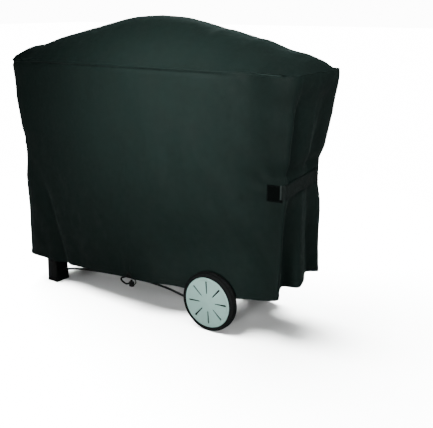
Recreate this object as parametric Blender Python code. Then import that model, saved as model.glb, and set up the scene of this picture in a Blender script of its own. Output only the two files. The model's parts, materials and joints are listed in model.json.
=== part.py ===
"""Cart grill standing under its fitted fabric cover.

Units are metres and +Z is up. The origin is on the floor under the middle of the cover, and
the front of the grill faces -Y. The cover is a sewn box of five panels with a crowned roof. It
hangs over a charcoal grill on a two-wheeled cart, and lifts straight off.
"""

import math

import bmesh
import bpy
from mathutils import Vector

# Cover
SEAM_Z = 0.840
SEAM_SAG = 0.008
HALF_LENGTH = 0.575
END_HALF_DEPTH = 0.148
SEAM_BOW = 0.052
HEM_BOW = 0.032
CLOTH = 0.004
CORNER_RADIUS = 0.008
CORNER_STEPS = 3
CORNER_RETURN = 0.001
SEAM_GAP = 0.0005
CORNER_GAP = 0.0012
ROOF_CROWN_POWER = 2.4

# Each list runs through heights or lengths, as (position, value).
ROOF_RIDGE = (
    (0.0, 1.0), (0.095, 0.993), (0.25, 0.959),
    (0.42, 0.921), (0.54, 0.888), (0.575, 0.840),
)
RIGHT_FRONT_EDGE = (
    (0.10, 0.567), (0.30, 0.564), (0.47, 0.562),
    (0.542, 0.562), (0.70, 0.571), (0.84, 0.575),
)
RIGHT_BACK_EDGE = (
    (0.10, 0.541), (0.30, 0.532), (0.47, 0.524),
    (0.542, 0.524), (0.70, 0.556), (0.84, 0.575),
)
LEFT_EDGE = (
    (0.10, 0.553), (0.30, 0.549), (0.47, 0.543),
    (0.542, 0.543), (0.70, 0.568), (0.84, 0.575),
)
WALL_ROWS = (0.21, 0.30, 0.385, 0.47, 0.542, 0.621, 0.70, 0.77)
HEM_LINE = (
    (-0.575, 0.100),
    (-0.35, 0.101),
    (-0.10, 0.117),
    (0.08, 0.121),
    (0.20, 0.112),
    (0.30, 0.114),
    (0.40, 0.121),
    (0.575, 0.163),
)

# Where the cloth tucks in behind a wheel
TUCKED_HALF_DEPTH = 0.130
TUCK_FLAT = 0.115
TUCK_END = 0.260
TUCK_TOP = 0.210
TUCK_FADED = 0.420

# Straps
STRAP_Z = 0.506
STRAP_HEIGHT = 0.043
STRAP_THICKNESS = 0.0022
STRAP_STAND_OFF = 0.0018
STRAP_ROOT_Y = 0.125
STRAP_TIP_LENGTH = 0.005
ANCHOR_REACH = (0.003, 0.010, 0.016)
PATCH_WIDTH = 0.053
PATCH_HEIGHT = 0.056
PATCH_THICKNESS = 0.0012
PATCH_EDGE = 0.009

# Drawcord and cord lock
EYELET_X = -0.025
EYELET_Z = 0.130
LOCK_X = -0.0045
LOCK_Z = 0.1065
LOCK_SIZE = (0.018, 0.0145, 0.017)
CORD_RADIUS = 0.002
LEAD_RADIUS = 0.003
CORD_INSET = 0.010
CORD_STEPS = 20
CORD_RISE = 0.012
STRAND_OFFSET = 0.0026
BUTTON_RADIUS = 0.004
BUTTON_TRAVEL = 0.004
BUTTON_CLEARANCE = 0.0006

# Cart
TUBE = 0.030
LEG_Y = 0.098
LEFT_LEG_X = -0.4535
AXLE_X = 0.295
AXLE_Z = 0.100
AXLE_RADIUS = 0.006
BRACKET_HALF = 0.017
BRACKET_FAR_Y = 0.115
BRACKET_NEAR_Y = 0.083
BRACKET_BOTTOM_Z = 0.032
BRACKET_TOP_Z = 0.125
RAIL_TOP_Z = 0.600
BOOT_LOW = (-0.4805, 0.081, 0.0)
BOOT_HIGH = (-0.4270, 0.147, 0.108)
SHELF_Z = 0.200
TIE_ROD_Y = 0.109
TIE_ROD_RADIUS = 0.004
TABLE_NEAR_X = 0.270
TABLE_FAR_X = 0.508
TABLE_HALF_DEPTH = 0.118
TABLE_Z = 0.815
TABLE_THICKNESS = 0.020

# Wheels
WHEEL_RADIUS = 0.100
TYRE_INNER_RADIUS = 0.0868
TYRE_SIDE_RADIUS = 0.0950
TYRE_SHOULDER = 0.008
WHEEL_NEAR_Y = 0.134
WHEEL_FAR_Y = 0.168
HUBCAP_RADIUS = 0.0855
HUBCAP_LIP_RADIUS = 0.0800
HUBCAP_DISH = 0.0020
HUBCAP_THICKNESS = 0.0025
BUSH_RADIUS = 0.0095
HUB_RADIUS = 0.0180
RIM_INNER_RADIUS = 0.0790
WEB_NEAR = 0.012
WEB_FAR = 0.016
RIM_SETBACK = 0.0080
SLOTS = 8
SLOT_FROM, SLOT_TO = 0.032, 0.072
SLOT_HALF_WIDTHS = (0.0014, 0.0026)
SLOT_TURN = math.radians(4)

# Grill
BOWL_HALF_LENGTH = 0.250
BOWL_HALF_DEPTH = 0.140
BOWL_BOTTOM_Z = 0.620
BOWL_RIM_Z = 0.768
LID_TOP_Z = 0.972
HANDLE_Y = -0.158
HANDLE_Z = 0.862
HANDLE_RADIUS = 0.006
HANDLE_HALF = 0.066
HANDLE_ROOT_Y = -0.1250
DAMPER_RADIUS = 0.028
DAMPER_THICKNESS = 0.0018
DAMPER_TAB_Y = -0.0415

FIT_GAP = 0.0003


# ---------------------------------------------------------------- helpers


def clear_scene():
    for obj in list(bpy.data.objects):
        bpy.data.objects.remove(obj)


def material(name, colour, roughness, metallic=0.0):
    mat = bpy.data.materials.new(name)
    mat.use_nodes = True
    shader = mat.node_tree.nodes["Principled BSDF"]
    shader.inputs["Base Color"].default_value = (*colour, 1.0)
    shader.inputs["Roughness"].default_value = roughness
    shader.inputs["Metallic"].default_value = metallic
    return mat


def mix(a, b, t):
    return a + (b - a) * t


def smoothstep(t):
    t = min(max(t, 0.0), 1.0)
    return t * t * (3.0 - 2.0 * t)


def along(knots, position):
    """The value at a position on the smooth curve through (position, value) knots."""
    position = min(max(position, knots[0][0]), knots[-1][0])
    last = len(knots) - 1
    i = next(k for k in range(last) if position <= knots[k + 1][0])
    (x0, y0), (x1, y1) = knots[i], knots[i + 1]
    before = knots[max(i - 1, 0)]
    after = knots[min(i + 2, last)]
    slope0 = (y1 - before[1]) / (x1 - before[0])
    slope1 = (after[1] - y0) / (after[0] - x0)
    t = (position - x0) / (x1 - x0)
    span = x1 - x0
    return (
        y0 * (2 * t**3 - 3 * t**2 + 1)
        + slope0 * span * (t**3 - 2 * t**2 + t)
        + y1 * (3 * t**2 - 2 * t**3)
        + slope1 * span * (t**3 - t**2)
    )


def straight_along(knots, position):
    """The value at a position on the straight lines between (position, value) knots."""
    position = min(max(position, knots[0][0]), knots[-1][0])
    i = next(k for k in range(len(knots) - 1) if position <= knots[k + 1][0])
    (x0, y0), (x1, y1) = knots[i], knots[i + 1]
    return mix(y0, y1, (position - x0) / (x1 - x0))


def add_object(name, mesh, mat):
    obj = bpy.data.objects.new(name, mesh)
    obj.data.materials.append(mat)
    bpy.context.scene.collection.objects.link(obj)
    return obj


def mesh_object(name, verts, faces, mat, location=(0.0, 0.0, 0.0), smooth_angle=35.0):
    """A closed mesh with its faces turned outwards. The vertices are relative to the location."""
    mesh = bpy.data.meshes.new(name)
    mesh.from_pydata([tuple(v) for v in verts], [], faces)
    body = bmesh.new()
    body.from_mesh(mesh)
    bmesh.ops.recalc_face_normals(body, faces=body.faces)
    body.to_mesh(mesh)
    body.free()
    mesh.shade_smooth()
    mesh.set_sharp_from_angle(angle=math.radians(smooth_angle))
    obj = add_object(name, mesh, mat)
    obj.location = location
    return obj


BOX_FACES = ((0, 1, 3, 2), (4, 6, 7, 5), (0, 4, 5, 1), (2, 3, 7, 6), (0, 2, 6, 4), (1, 5, 7, 3))


def box_corners(low, high):
    xs, ys, zs = zip(low, high)
    return [(x, y, z) for x in xs for y in ys for z in zs]


def box(name, low, high, mat, bevel=0.0015):
    """A box between two corners, with softened edges."""
    centre = [(a + b) / 2 for a, b in zip(low, high)]
    half = [abs(b - a) / 2 for a, b in zip(low, high)]
    verts = box_corners([-h for h in half], half)
    obj = mesh_object(name, verts, list(BOX_FACES), mat, centre)
    if bevel:
        edge = obj.modifiers.new("edge", "BEVEL")
        edge.width = bevel
        edge.segments = 1
    return obj


def lathe(name, profile, mat, axis="Z", centre=(0.0, 0.0, 0.0), segments=32, stretch=(1.0, 1.0)):
    """A turned solid. The profile is (radius, height) points; it is closed, or runs from axis to axis."""
    ends_on_axis = profile[0][0] == 0.0 and profile[-1][0] == 0.0
    rings = profile[1:-1] if ends_on_axis else profile
    verts = []
    for s in range(segments):
        angle = 2 * math.pi * s / segments
        for radius, height in rings:
            across = radius * math.cos(angle) * stretch[0]
            up = radius * math.sin(angle) * stretch[1]
            verts.append((across, up, height) if axis == "Z" else (across, height, up))
    count = len(rings)
    faces = []
    for s in range(segments):
        here = s * count
        there = (s + 1) % segments * count
        for i in range(count - 1):
            faces.append((here + i, here + i + 1, there + i + 1, there + i))
        if not ends_on_axis:
            faces.append((here + count - 1, here, there, there + count - 1))
    if ends_on_axis:
        for height, ring in ((profile[0][1], 0), (profile[-1][1], count - 1)):
            tip = len(verts)
            verts.append((0.0, 0.0, height) if axis == "Z" else (0.0, height, 0.0))
            for s in range(segments):
                faces.append((tip, s * count + ring, (s + 1) % segments * count + ring))
    return mesh_object(name, verts, faces, mat, centre)


def rod(name, start, end, radius, mat, segments=16):
    """A straight round bar between two points."""
    start, end = Vector(start), Vector(end)
    turn = (end - start).to_track_quat("Z", "Y")
    length = (end - start).length
    obj = lathe(name, ((0.0, 0.0), (radius, 0.0), (radius, length), (0.0, length)), mat, segments=segments)
    obj.rotation_mode = "QUATERNION"
    obj.rotation_quaternion = turn
    obj.location = start
    return obj


def tube(name, points, radius, mat, resolution=2):
    """A solid cord or bent bar along a polyline."""
    curve = bpy.data.curves.new(name, "CURVE")
    curve.dimensions = "3D"
    curve.bevel_depth = radius
    curve.bevel_resolution = resolution
    curve.use_fill_caps = True
    spline = curve.splines.new("POLY")
    spline.points.add(len(points) - 1)
    for slot, point in zip(spline.points, points):
        slot.co = (*point, 1.0)
    return add_object(name, curve, mat)


def smooth_route(points, steps):
    """Points on the smooth curve through the given ones, a fixed number between each pair."""
    vectors = [Vector(p) for p in points]
    route = []
    for i in range(len(vectors) - 1):
        p0 = vectors[max(i - 1, 0)]
        p1, p2 = vectors[i], vectors[i + 1]
        p3 = vectors[min(i + 2, len(vectors) - 1)]
        once = p2 - p0
        twice = 2 * p0 - 5 * p1 + 4 * p2 - p3
        thrice = 3 * p1 - p0 - 3 * p2 + p3
        for k in range(steps):
            t = k / steps
            route.append(0.5 * (2 * p1 + once * t + twice * t**2 + thrice * t**3))
    return route + [vectors[-1]]


def shell(name, outside, inside, mat):
    """A closed sheet between two grids of points of the same shape."""
    rows, columns = len(outside), len(outside[0])
    verts = [p for row in outside for p in row] + [p for row in inside for p in row]
    half = rows * columns
    faces = []
    for r in range(rows - 1):
        for c in range(columns - 1):
            a = r * columns + c
            faces.append((a, a + 1, a + columns + 1, a + columns))
            faces.append((half + a, half + a + columns, half + a + columns + 1, half + a + 1))
    rim = [c for c in range(columns)]
    rim += [r * columns + columns - 1 for r in range(1, rows)]
    rim += [(rows - 1) * columns + c for c in range(columns - 2, -1, -1)]
    rim += [r * columns for r in range(rows - 2, 0, -1)]
    for a, b in zip(rim, rim[1:] + rim[:1]):
        faces.append((b, a, half + a, half + b))
    return mesh_object(name, verts, faces, mat)


def cut(target, cutter, operation="DIFFERENCE"):
    """Cuts a helper out of an object, or joins it on, and hides the helper."""
    cutter.hide_render = True
    cutter.display_type = "WIRE"
    change = target.modifiers.new(operation.lower(), "BOOLEAN")
    change.operation = operation
    change.solver = "EXACT"
    change.object = cutter


def bars_mesh(name, boxes, mat):
    """Several separate boxes in one helper mesh, each given by two corners."""
    verts, faces = [], []
    for low, high in boxes:
        base = len(verts)
        verts += box_corners(low, high)
        for face in BOX_FACES:
            faces.append(tuple(base + i for i in face))
    return mesh_object(name, verts, faces, mat)


# ---------------------------------------------------------------- the cover's shape


def side_edge(side, back, z):
    """Distance from the middle to a corner of the cover, at one height."""
    if side < 0:
        return straight_along(LEFT_EDGE, z)
    return straight_along(RIGHT_BACK_EDGE if back else RIGHT_FRONT_EDGE, z)


def half_depth(x, z):
    """Distance from the middle to the front or back wall, at one length and height."""
    bow = mix(HEM_BOW, SEAM_BOW, z / SEAM_Z)
    depth = END_HALF_DEPTH + bow * (1 - (x / HALF_LENGTH) ** 2)
    beside = smoothstep((TUCK_END - abs(x - AXLE_X)) / (TUCK_END - TUCK_FLAT))
    low = smoothstep((TUCK_FADED - z) / (TUCK_FADED - TUCK_TOP))
    return mix(depth, min(depth, TUCKED_HALF_DEPTH), beside * low)


def seam_height(x):
    return SEAM_Z - SEAM_SAG * (1 - (x / HALF_LENGTH) ** 2)


def wall_line(facing, z, columns=18):
    """The plan of the front (-1) or back (+1) wall at one height, round both corners."""
    back = facing > 0
    line = []
    for side in (-1, 1):
        edge = side_edge(side, back, z)
        tangent_x = edge - CORNER_RADIUS
        tangent_y = half_depth(side * tangent_x, z)
        arc = []
        for k in range(CORNER_STEPS + 1):
            angle = math.pi / 2 * k / CORNER_STEPS
            x = tangent_x + CORNER_RADIUS * math.sin(angle)
            y = tangent_y - CORNER_RADIUS * (1 - math.cos(angle))
            arc.append((side * x, facing * y))
        arc.append((side * edge, facing * (tangent_y - CORNER_RADIUS - CORNER_RETURN)))
        line.append(arc)
    left, right = line
    start, end = left[0][0], right[0][0]
    middle = [mix(start, end, k / columns) for k in range(1, columns)]
    return left[::-1] + [(x, facing * half_depth(x, z)) for x in middle] + right


def end_line(side, z, columns=6):
    """The plan of an end wall at one height, from front to back between the corners."""
    front = wall_line(-1, z)[-1 if side > 0 else 0]
    back = wall_line(1, z)[-1 if side > 0 else 0]
    y0 = front[1] + CORNER_GAP
    y1 = back[1] - CORNER_GAP
    shares = [k / columns for k in range(columns + 1)]
    return [(mix(front[0], back[0], t), mix(y0, y1, t)) for t in shares]


def end_point(side, y, z):
    """The point of an end wall at one depth and height."""
    (x0, y0), (x1, y1) = end_line(side, z, columns=1)
    return (mix(x0, x1, (y - y0) / (y1 - y0)), y)


def pushed_out(line, distance):
    """A plan line moved outwards from the middle of the cover, or inwards if negative."""
    moved = []
    for i, (x, y) in enumerate(line):
        x0, y0 = line[max(i - 1, 0)]
        x1, y1 = line[min(i + 1, len(line) - 1)]
        normal = Vector((y1 - y0, x0 - x1)).normalized()
        if normal.dot(Vector((x, y))) < 0:
            normal = -normal
        moved.append((x + normal.x * distance, y + normal.y * distance))
    return moved


def wall_panel(name, line_at, hem_at, mat):
    """A wall of cloth. line_at gives its plan at a height, hem_at the height of its hem at x."""
    outside, inside = [], []
    columns = len(line_at(STRAP_Z))
    top_line = line_at(SEAM_Z)
    bottoms = [hem_at(x) for x, _ in line_at(STRAP_Z)]
    tops = [seam_height(x) - SEAM_GAP for x, _ in top_line]
    for heights in [bottoms] + [[z] * columns for z in WALL_ROWS] + [tops]:
        out_row, in_row = [], []
        for c, z in enumerate(heights):
            line = line_at(z)
            out_row.append((*line[c], z))
            in_row.append((*pushed_out(line, -CLOTH)[c], z))
        outside.append(out_row)
        inside.append(in_row)
    return shell(name, outside, inside, mat)


def roof_point(x, v):
    """A point on the roof. v runs from -1 at the front seam to 1 at the back seam."""
    seam = seam_height(x)
    crown = (along(ROOF_RIDGE, abs(x)) - seam) * (1 - abs(v) ** ROOF_CROWN_POWER)
    return Vector((x, v * half_depth(x, SEAM_Z), seam + crown))


def roof_panel(mat):
    columns, rows = 16, 8
    lengths = [HALF_LENGTH * math.sin(math.pi / 2 * (2 * c / columns - 1)) for c in range(columns + 1)]
    across = [math.sin(math.pi / 2 * (2 * r / rows - 1)) for r in range(rows + 1)]
    outside = [[roof_point(x, v) for x in lengths] for v in across]
    inside = []
    for r in range(rows + 1):
        row = []
        for c in range(columns + 1):
            p = outside[r][c]
            if r in (0, rows) or c in (0, columns):
                width = half_depth(lengths[c], SEAM_Z)
                inner = Vector((p.x * (1 - CLOTH / HALF_LENGTH), p.y * (1 - CLOTH / width), p.z))
            else:
                along_x = outside[r][c + 1] - outside[r][c - 1]
                along_y = outside[r + 1][c] - outside[r - 1][c]
                inner = p - along_x.cross(along_y).normalized() * CLOTH
                inner.z = max(inner.z, mix(seam_height(p.x), p.z, 0.3))
            row.append(inner)
        inside.append(row)
    return shell("roof_panel", outside, inside, mat)


def hem_height(x):
    return along(HEM_LINE, x)


def wall_hem(facing, x):
    """The hem's height on the front or back wall, which meets the end walls' hems at its corners."""
    edge = side_edge(x, facing > 0, STRAP_Z)
    return hem_height(HALF_LENGTH * x / edge)


def walls(mat):
    front = wall_panel("front_panel", lambda z: wall_line(-1, z), lambda x: wall_hem(-1, x), mat)
    wall_panel("back_panel", lambda z: wall_line(1, z), lambda x: wall_hem(1, x), mat)
    wall_panel("left_panel", lambda z: end_line(-1, z), lambda x: hem_height(-HALF_LENGTH), mat)
    wall_panel("right_panel", lambda z: end_line(1, z), lambda x: hem_height(HALF_LENGTH), mat)
    hole = rod("cord_hole", (EYELET_X, -0.21, EYELET_Z), (EYELET_X, -0.15, EYELET_Z), 0.0078, mat)
    cut(front, hole)


# ---------------------------------------------------------------- straps


def strap_plan(side, z):
    """The strap's path along an end wall and round the far corner, from its sewn root."""
    facing = -side
    wall = wall_line(facing, z)
    corner = (wall if side < 0 else wall[::-1])[: CORNER_STEPS + 2]
    steps = 10
    end_wall = []
    for k in range(steps):
        y = facing * mix(-STRAP_ROOT_Y, abs(corner[0][1]), k / steps)
        end_wall.append(end_point(side, y, z))
    tip_x = corner[-1][0] - side * STRAP_TIP_LENGTH
    tip = (tip_x, facing * half_depth(tip_x, z))
    return end_wall + corner + [tip]


def strap(side, mat):
    name = "strap_right" if side > 0 else "strap_left"
    outside, inside = [], []
    for k in range(4):
        z = STRAP_Z + STRAP_HEIGHT * (k / 3 - 0.5)
        plan = strap_plan(side, z)
        inside.append([(*p, z) for p in pushed_out(plan, STRAP_STAND_OFF)])
        outside.append([(*p, z) for p in pushed_out(plan, STRAP_STAND_OFF + STRAP_THICKNESS)])
    pivot = strap_pivot(side)
    shifted = [[[Vector(p) - pivot for p in row] for row in grid] for grid in (outside, inside)]
    band = shell(name, *shifted, mat)
    band.location = pivot
    return band


def strap_pivot(side):
    """The upright line through the strap's sewn root, which it swings about."""
    root = strap_plan(side, STRAP_Z)[0]
    middle = STRAP_STAND_OFF + STRAP_THICKNESS / 2
    return Vector((root[0] + side * middle, root[1], STRAP_Z))


def wall_patch(name, start_x, end_x, facing, mat):
    """A square of tape sewn flat on the front or back wall at the strap's height."""
    outside, inside = [], []
    steps = 4
    for k in range(steps + 1):
        z = STRAP_Z + PATCH_HEIGHT * (k / steps - 0.5) - 0.004
        xs = [mix(start_x, end_x, c / steps) for c in range(steps + 1)]
        line = [(x, facing * half_depth(x, z)) for x in xs]
        inside.append([(*p, z) for p in pushed_out(line, FIT_GAP)])
        outside.append([(*p, z) for p in pushed_out(line, FIT_GAP + PATCH_THICKNESS)])
    return shell(name, outside, inside, mat)


def strap_set(side, band_mat, patch_mat):
    """One strap with the loop tape that it closes on and the anchor that it is sewn under."""
    strap(side, band_mat)
    facing = -side
    word = "right" if side > 0 else "left"
    edge = side_edge(side, facing > 0, STRAP_Z)
    far = side * (edge - PATCH_EDGE)
    wall_patch(f"loop_tape_{word}", far - side * PATCH_WIDTH, far, facing, patch_mat)
    outside, inside = [], []
    for k in range(3):
        z = STRAP_Z + PATCH_HEIGHT * (k / 2 - 0.5)
        plan = [end_point(side, -facing * (STRAP_ROOT_Y + reach), z) for reach in ANCHOR_REACH]
        inside.append([(*p, z) for p in pushed_out(plan, FIT_GAP)])
        outside.append([(*p, z) for p in pushed_out(plan, FIT_GAP + STRAP_THICKNESS)])
    shell(f"strap_anchor_{word}", outside, inside, patch_mat)


# ---------------------------------------------------------------- drawcord and its lock


def front_cloth_y(x, z):
    return -half_depth(x, z)


def drawcord(mat):
    """The cord in the hem, all the way round. Both ends leave through the eyelet to the lock."""
    ring = []
    for facing in (-1, 1):
        for k in range(CORD_STEPS + 1):
            x = facing * mix(0.520, -0.520, k / CORD_STEPS)
            z = hem_height(x) + CORD_RISE
            ring.append((x, facing * (half_depth(x, z) - CORD_INSET), z))
        ring.append((ring[-1][0] - facing * 0.012, ring[-1][1] - facing * 0.014, ring[-1][2]))
        ring.append((ring[-1][0], -ring[-1][1], ring[-1][2]))
    first = next(i for i, p in enumerate(ring) if p[0] > EYELET_X + 0.02)
    loop = ring[first:] + ring[:first]
    loop = [p for p in loop if abs(p[0] - EYELET_X) > 0.03 or p[1] > 0]
    inner_y = front_cloth_y(EYELET_X, EYELET_Z) + CORD_INSET
    outer_y = eyelet_face_y() + FIT_GAP
    right = EYELET_X + STRAND_OFFSET
    left = EYELET_X - STRAND_OFFSET
    turn_y = inner_y - 0.003
    run_y = inner_y + 0.001
    z = EYELET_Z
    out = [(right, outer_y, z), (right, turn_y, z), (right + 0.006, run_y, z)]
    back = [(left - 0.006, run_y, z), (left, turn_y, z), (left, outer_y, z)]
    tube("drawcord", out + loop + back, CORD_RADIUS, mat, resolution=1)


def eyelet_face_y():
    """Where the drawcord's two ends stop, just outside the eyelet."""
    return front_cloth_y(EYELET_X, EYELET_Z) - 0.0025


def lock_back_y():
    """The back of the cord lock, which hangs against the hem's face."""
    return eyelet_face_y()


def eyelet(mat):
    """A brass ring pressed into the hem, which the drawcord comes out of."""
    face = front_cloth_y(EYELET_X, EYELET_Z)
    profile = (
        (0.0058, face + 0.0055),
        (0.0074, face + 0.0055),
        (0.0074, face - 0.0007),
        (0.0100, face - 0.0007),
        (0.0100, face - 0.0017),
        (0.0058, face - 0.0017),
    )
    lathe("hem_eyelet", profile, mat, "Y", (EYELET_X, 0.0, EYELET_Z), 20)


def cord_lock(body_mat, button_mat, spring_mat):
    """A squeeze toggle: a housing, a plunger that slides down into it and the spring below."""
    back = lock_back_y()
    width, depth, height = LOCK_SIZE
    low = (LOCK_X - width / 2, back - depth, LOCK_Z - height / 2)
    high = (LOCK_X + width / 2, back, LOCK_Z + height / 2)
    housing = box("cord_lock_housing", low, high, body_mat, bevel=0.003)
    middle_y = back - depth / 2
    well_floor = LOCK_Z - 0.004
    well_radius = BUTTON_RADIUS + BUTTON_CLEARANCE
    well_mouth = (LOCK_X, middle_y, high[2] + 0.01)
    well = rod("lock_well", (LOCK_X, middle_y, well_floor), well_mouth, well_radius, body_mat)
    cut(housing, well)
    button_low = well_floor + BUTTON_TRAVEL + 0.0015
    button_high = high[2] + BUTTON_TRAVEL + 0.003
    length = button_high - button_low
    edge = 0.001
    profile = (
        (0.0, 0.0),
        (BUTTON_RADIUS, 0.0),
        (BUTTON_RADIUS, length - edge),
        (BUTTON_RADIUS - edge, length),
        (0.0, length),
    )
    button_base = (LOCK_X, middle_y, button_low)
    lathe("cord_lock_button", profile, button_mat, centre=button_base, segments=20)
    coil = button_low - well_floor - 2 * FIT_GAP
    spring = ((0.0015, 0.0), (0.0030, 0.0), (0.0030, coil), (0.0015, coil))
    spring_base = (LOCK_X, middle_y, well_floor + FIT_GAP)
    lathe("cord_lock_spring", spring, spring_mat, centre=spring_base, segments=16)


# The cord from the eyelet down and round to the lock, as (x, y, z) from the eyelet's middle. Y is
# from the drawcord's ends.
LEAD_ROUTE = (
    (-0.0022, -0.0006, 0.0),
    (-0.0034, -0.0060, -0.0010),
    (-0.0085, -0.0082, -0.0034),
    (-0.0160, -0.0078, -0.0068),
    (-0.0245, -0.0074, -0.0105),
    (-0.0275, -0.0072, -0.0160),
    (-0.0235, -0.0072, -0.0215),
    (-0.0150, -0.0072, -0.0258),
    (-0.0050, -0.0072, -0.0285),
    (0.0030, -0.0072, -0.0265),
    (0.0070, -0.0072, -0.0250),
    (0.0112, -0.0072, -0.0250),
)
# The cord from the lock's other side back up to the eyelet
RETURN_ROUTE = (
    (0.0298, -0.0072, -0.0225),
    (0.0318, -0.0072, -0.0225),
    (0.0356, -0.0072, -0.0205),
    (0.0387, -0.0072, -0.0162),
    (0.0390, -0.0072, -0.0105),
    (0.0359, -0.0072, -0.0057),
    (0.0306, -0.0072, -0.0033),
    (0.0230, -0.0074, -0.0026),
    (0.0160, -0.0078, -0.0020),
    (0.0095, -0.0080, -0.0012),
    (0.0050, -0.0056, -0.0004),
    (0.0034, -0.0006, 0.0),
)


def cord_run(name, route, radius, mat):
    base = Vector((EYELET_X, eyelet_face_y(), EYELET_Z))
    points = [base + Vector(p) for p in route]
    tube(name, smooth_route(points, 2), radius, mat)


def cord_leads(mat):
    """The loop of cord that hangs from the eyelet and runs through the lock."""
    cord_run("cord_lead", LEAD_ROUTE, LEAD_RADIUS, mat)
    cord_run("cord_return", RETURN_ROUTE, CORD_RADIUS, mat)


# ---------------------------------------------------------------- cart


def leg(name, x, y, bottom, mat):
    half = TUBE / 2
    top = RAIL_TOP_Z - TUBE - FIT_GAP
    box(name, (x - half, y - half, bottom), (x + half, y + half, top), mat, bevel=0.003)


def boot(name, facing, mat):
    """A moulded foot that a left leg stands in."""
    ys = sorted((facing * BOOT_LOW[1], facing * BOOT_HIGH[1]))
    box(name, (BOOT_LOW[0], ys[0], BOOT_LOW[2]), (BOOT_HIGH[0], ys[1], BOOT_HIGH[2]), mat, bevel=0.002)


def axle_bracket(name, facing, mat):
    """The block under a right leg. The axle runs through it and the tie rod ends in its side."""
    ys = sorted((facing * BRACKET_NEAR_Y, facing * BRACKET_FAR_Y))
    low = (AXLE_X - BRACKET_HALF, ys[0], BRACKET_BOTTOM_Z)
    high = (AXLE_X + BRACKET_HALF, ys[1], BRACKET_TOP_Z)
    body = box(name, low, high, mat, bevel=0.002)
    bore_start = (AXLE_X, ys[0] - 0.02, AXLE_Z)
    bore_end = (AXLE_X, ys[1] + 0.02, AXLE_Z)
    bore = rod(f"{name}_bore", bore_start, bore_end, AXLE_RADIUS + FIT_GAP, mat)
    cut(body, bore)


# The arch of a tie rod, as (x, z)
TIE_ROD_ARCH = (
    (-0.416, 0.047), (-0.316, 0.067), (-0.10, 0.0865),
    (0.06, 0.0855), (0.162, 0.070), (0.267, 0.046),
)


def tie_rod(name, facing, mat):
    """The arched bar that ties a left foot to the axle bracket on its side."""
    arch = smooth_route([(x, facing * TIE_ROD_Y, z) for x, z in TIE_ROD_ARCH], 4)
    start = (BOOT_HIGH[0] + FIT_GAP, facing * TIE_ROD_Y, arch[0].z)
    end = (AXLE_X - BRACKET_HALF - FIT_GAP, facing * TIE_ROD_Y, arch[-1].z)
    tube(name, [start] + arch + [end], TIE_ROD_RADIUS, mat)


def cart_frame(tube_mat, boot_mat, shelf_mat):
    half = TUBE / 2
    for facing, word in ((-1, "front"), (1, "rear")):
        y = facing * LEG_Y
        boot(f"foot_{word}_left", facing, boot_mat)
        leg(f"leg_{word}_left", LEFT_LEG_X, y, BOOT_HIGH[2] + FIT_GAP, tube_mat)
        leg(f"leg_{word}_right", AXLE_X, y, BRACKET_TOP_Z + FIT_GAP, tube_mat)
        axle_bracket(f"axle_bracket_{word}", facing, boot_mat)
        tie_rod(f"tie_rod_{word}", facing, tube_mat)
        low = (LEFT_LEG_X - half, y - half, RAIL_TOP_Z - TUBE)
        high = (AXLE_X + half, y + half, RAIL_TOP_Z)
        box(f"top_rail_{word}", low, high, tube_mat, bevel=0.003)
    reach = LEG_Y + half
    for x, word in ((LEFT_LEG_X, "left"), (AXLE_X, "right")):
        bottom = RAIL_TOP_Z + FIT_GAP
        top = RAIL_TOP_Z + TUBE
        box(f"end_rail_{word}", (x - half, -reach, bottom), (x + half, reach, top), tube_mat, bevel=0.003)
        post_low = (x - half / 2, -half, top + FIT_GAP)
        post_high = (x + half / 2, half, TABLE_Z - FIT_GAP)
        box(f"table_post_{word}", post_low, post_high, tube_mat, bevel=0.002)
    left = LEFT_LEG_X + half + FIT_GAP
    right = AXLE_X - half - FIT_GAP
    box("lower_shelf", (left, -0.112, SHELF_Z), (right, 0.112, SHELF_Z + 0.012), shelf_mat, bevel=0.002)
    for x, word in ((-0.10, "left"), (0.10, "right")):
        low = (x - 0.012, -reach, RAIL_TOP_Z + FIT_GAP)
        high = (x + 0.012, reach, BOWL_BOTTOM_Z - FIT_GAP)
        box(f"bowl_cradle_{word}", low, high, tube_mat)


def side_table(name, side, mat):
    """A shelf beside the bowl, with rounded corners."""
    radius = 0.025
    outline = []
    for cx, cy, first in (
        (TABLE_FAR_X - radius, TABLE_HALF_DEPTH - radius, 0),
        (TABLE_NEAR_X + radius, TABLE_HALF_DEPTH - radius, 1),
        (TABLE_NEAR_X + radius, radius - TABLE_HALF_DEPTH, 2),
        (TABLE_FAR_X - radius, radius - TABLE_HALF_DEPTH, 3),
    ):
        for k in range(4):
            angle = math.pi / 2 * (first + k / 3)
            outline.append((side * (cx + radius * math.cos(angle)), cy + radius * math.sin(angle)))
    count = len(outline)
    verts = [(x, y, TABLE_Z) for x, y in outline] + [(x, y, TABLE_Z + TABLE_THICKNESS) for x, y in outline]
    faces = [tuple(range(count)), tuple(range(count, 2 * count))]
    faces += [(i, (i + 1) % count, count + (i + 1) % count, count + i) for i in range(count)]
    slab = mesh_object(name, verts, faces, mat)
    edge = slab.modifiers.new("edge", "BEVEL")
    edge.width = 0.003
    edge.segments = 1
    edge.limit_method = "ANGLE"
    edge.angle_limit = math.radians(60)


def axle(mat):
    reach = WHEEL_FAR_Y - 0.0085
    rod("axle", (AXLE_X, -reach, AXLE_Z), (AXLE_X, reach, AXLE_Z), AXLE_RADIUS, mat, segments=20)
    for facing, word in ((-1, "front"), (1, "rear")):
        inner = facing * (BRACKET_FAR_Y + FIT_GAP)
        outer = facing * (WHEEL_NEAR_Y - FIT_GAP)
        bore = AXLE_RADIUS + FIT_GAP
        profile = ((bore, inner), (0.0085, inner), (0.0085, outer), (bore, outer))
        lathe(f"axle_spacer_{word}", profile, mat, "Y", (AXLE_X, 0.0, AXLE_Z), 20)


# ---------------------------------------------------------------- wheels


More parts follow.
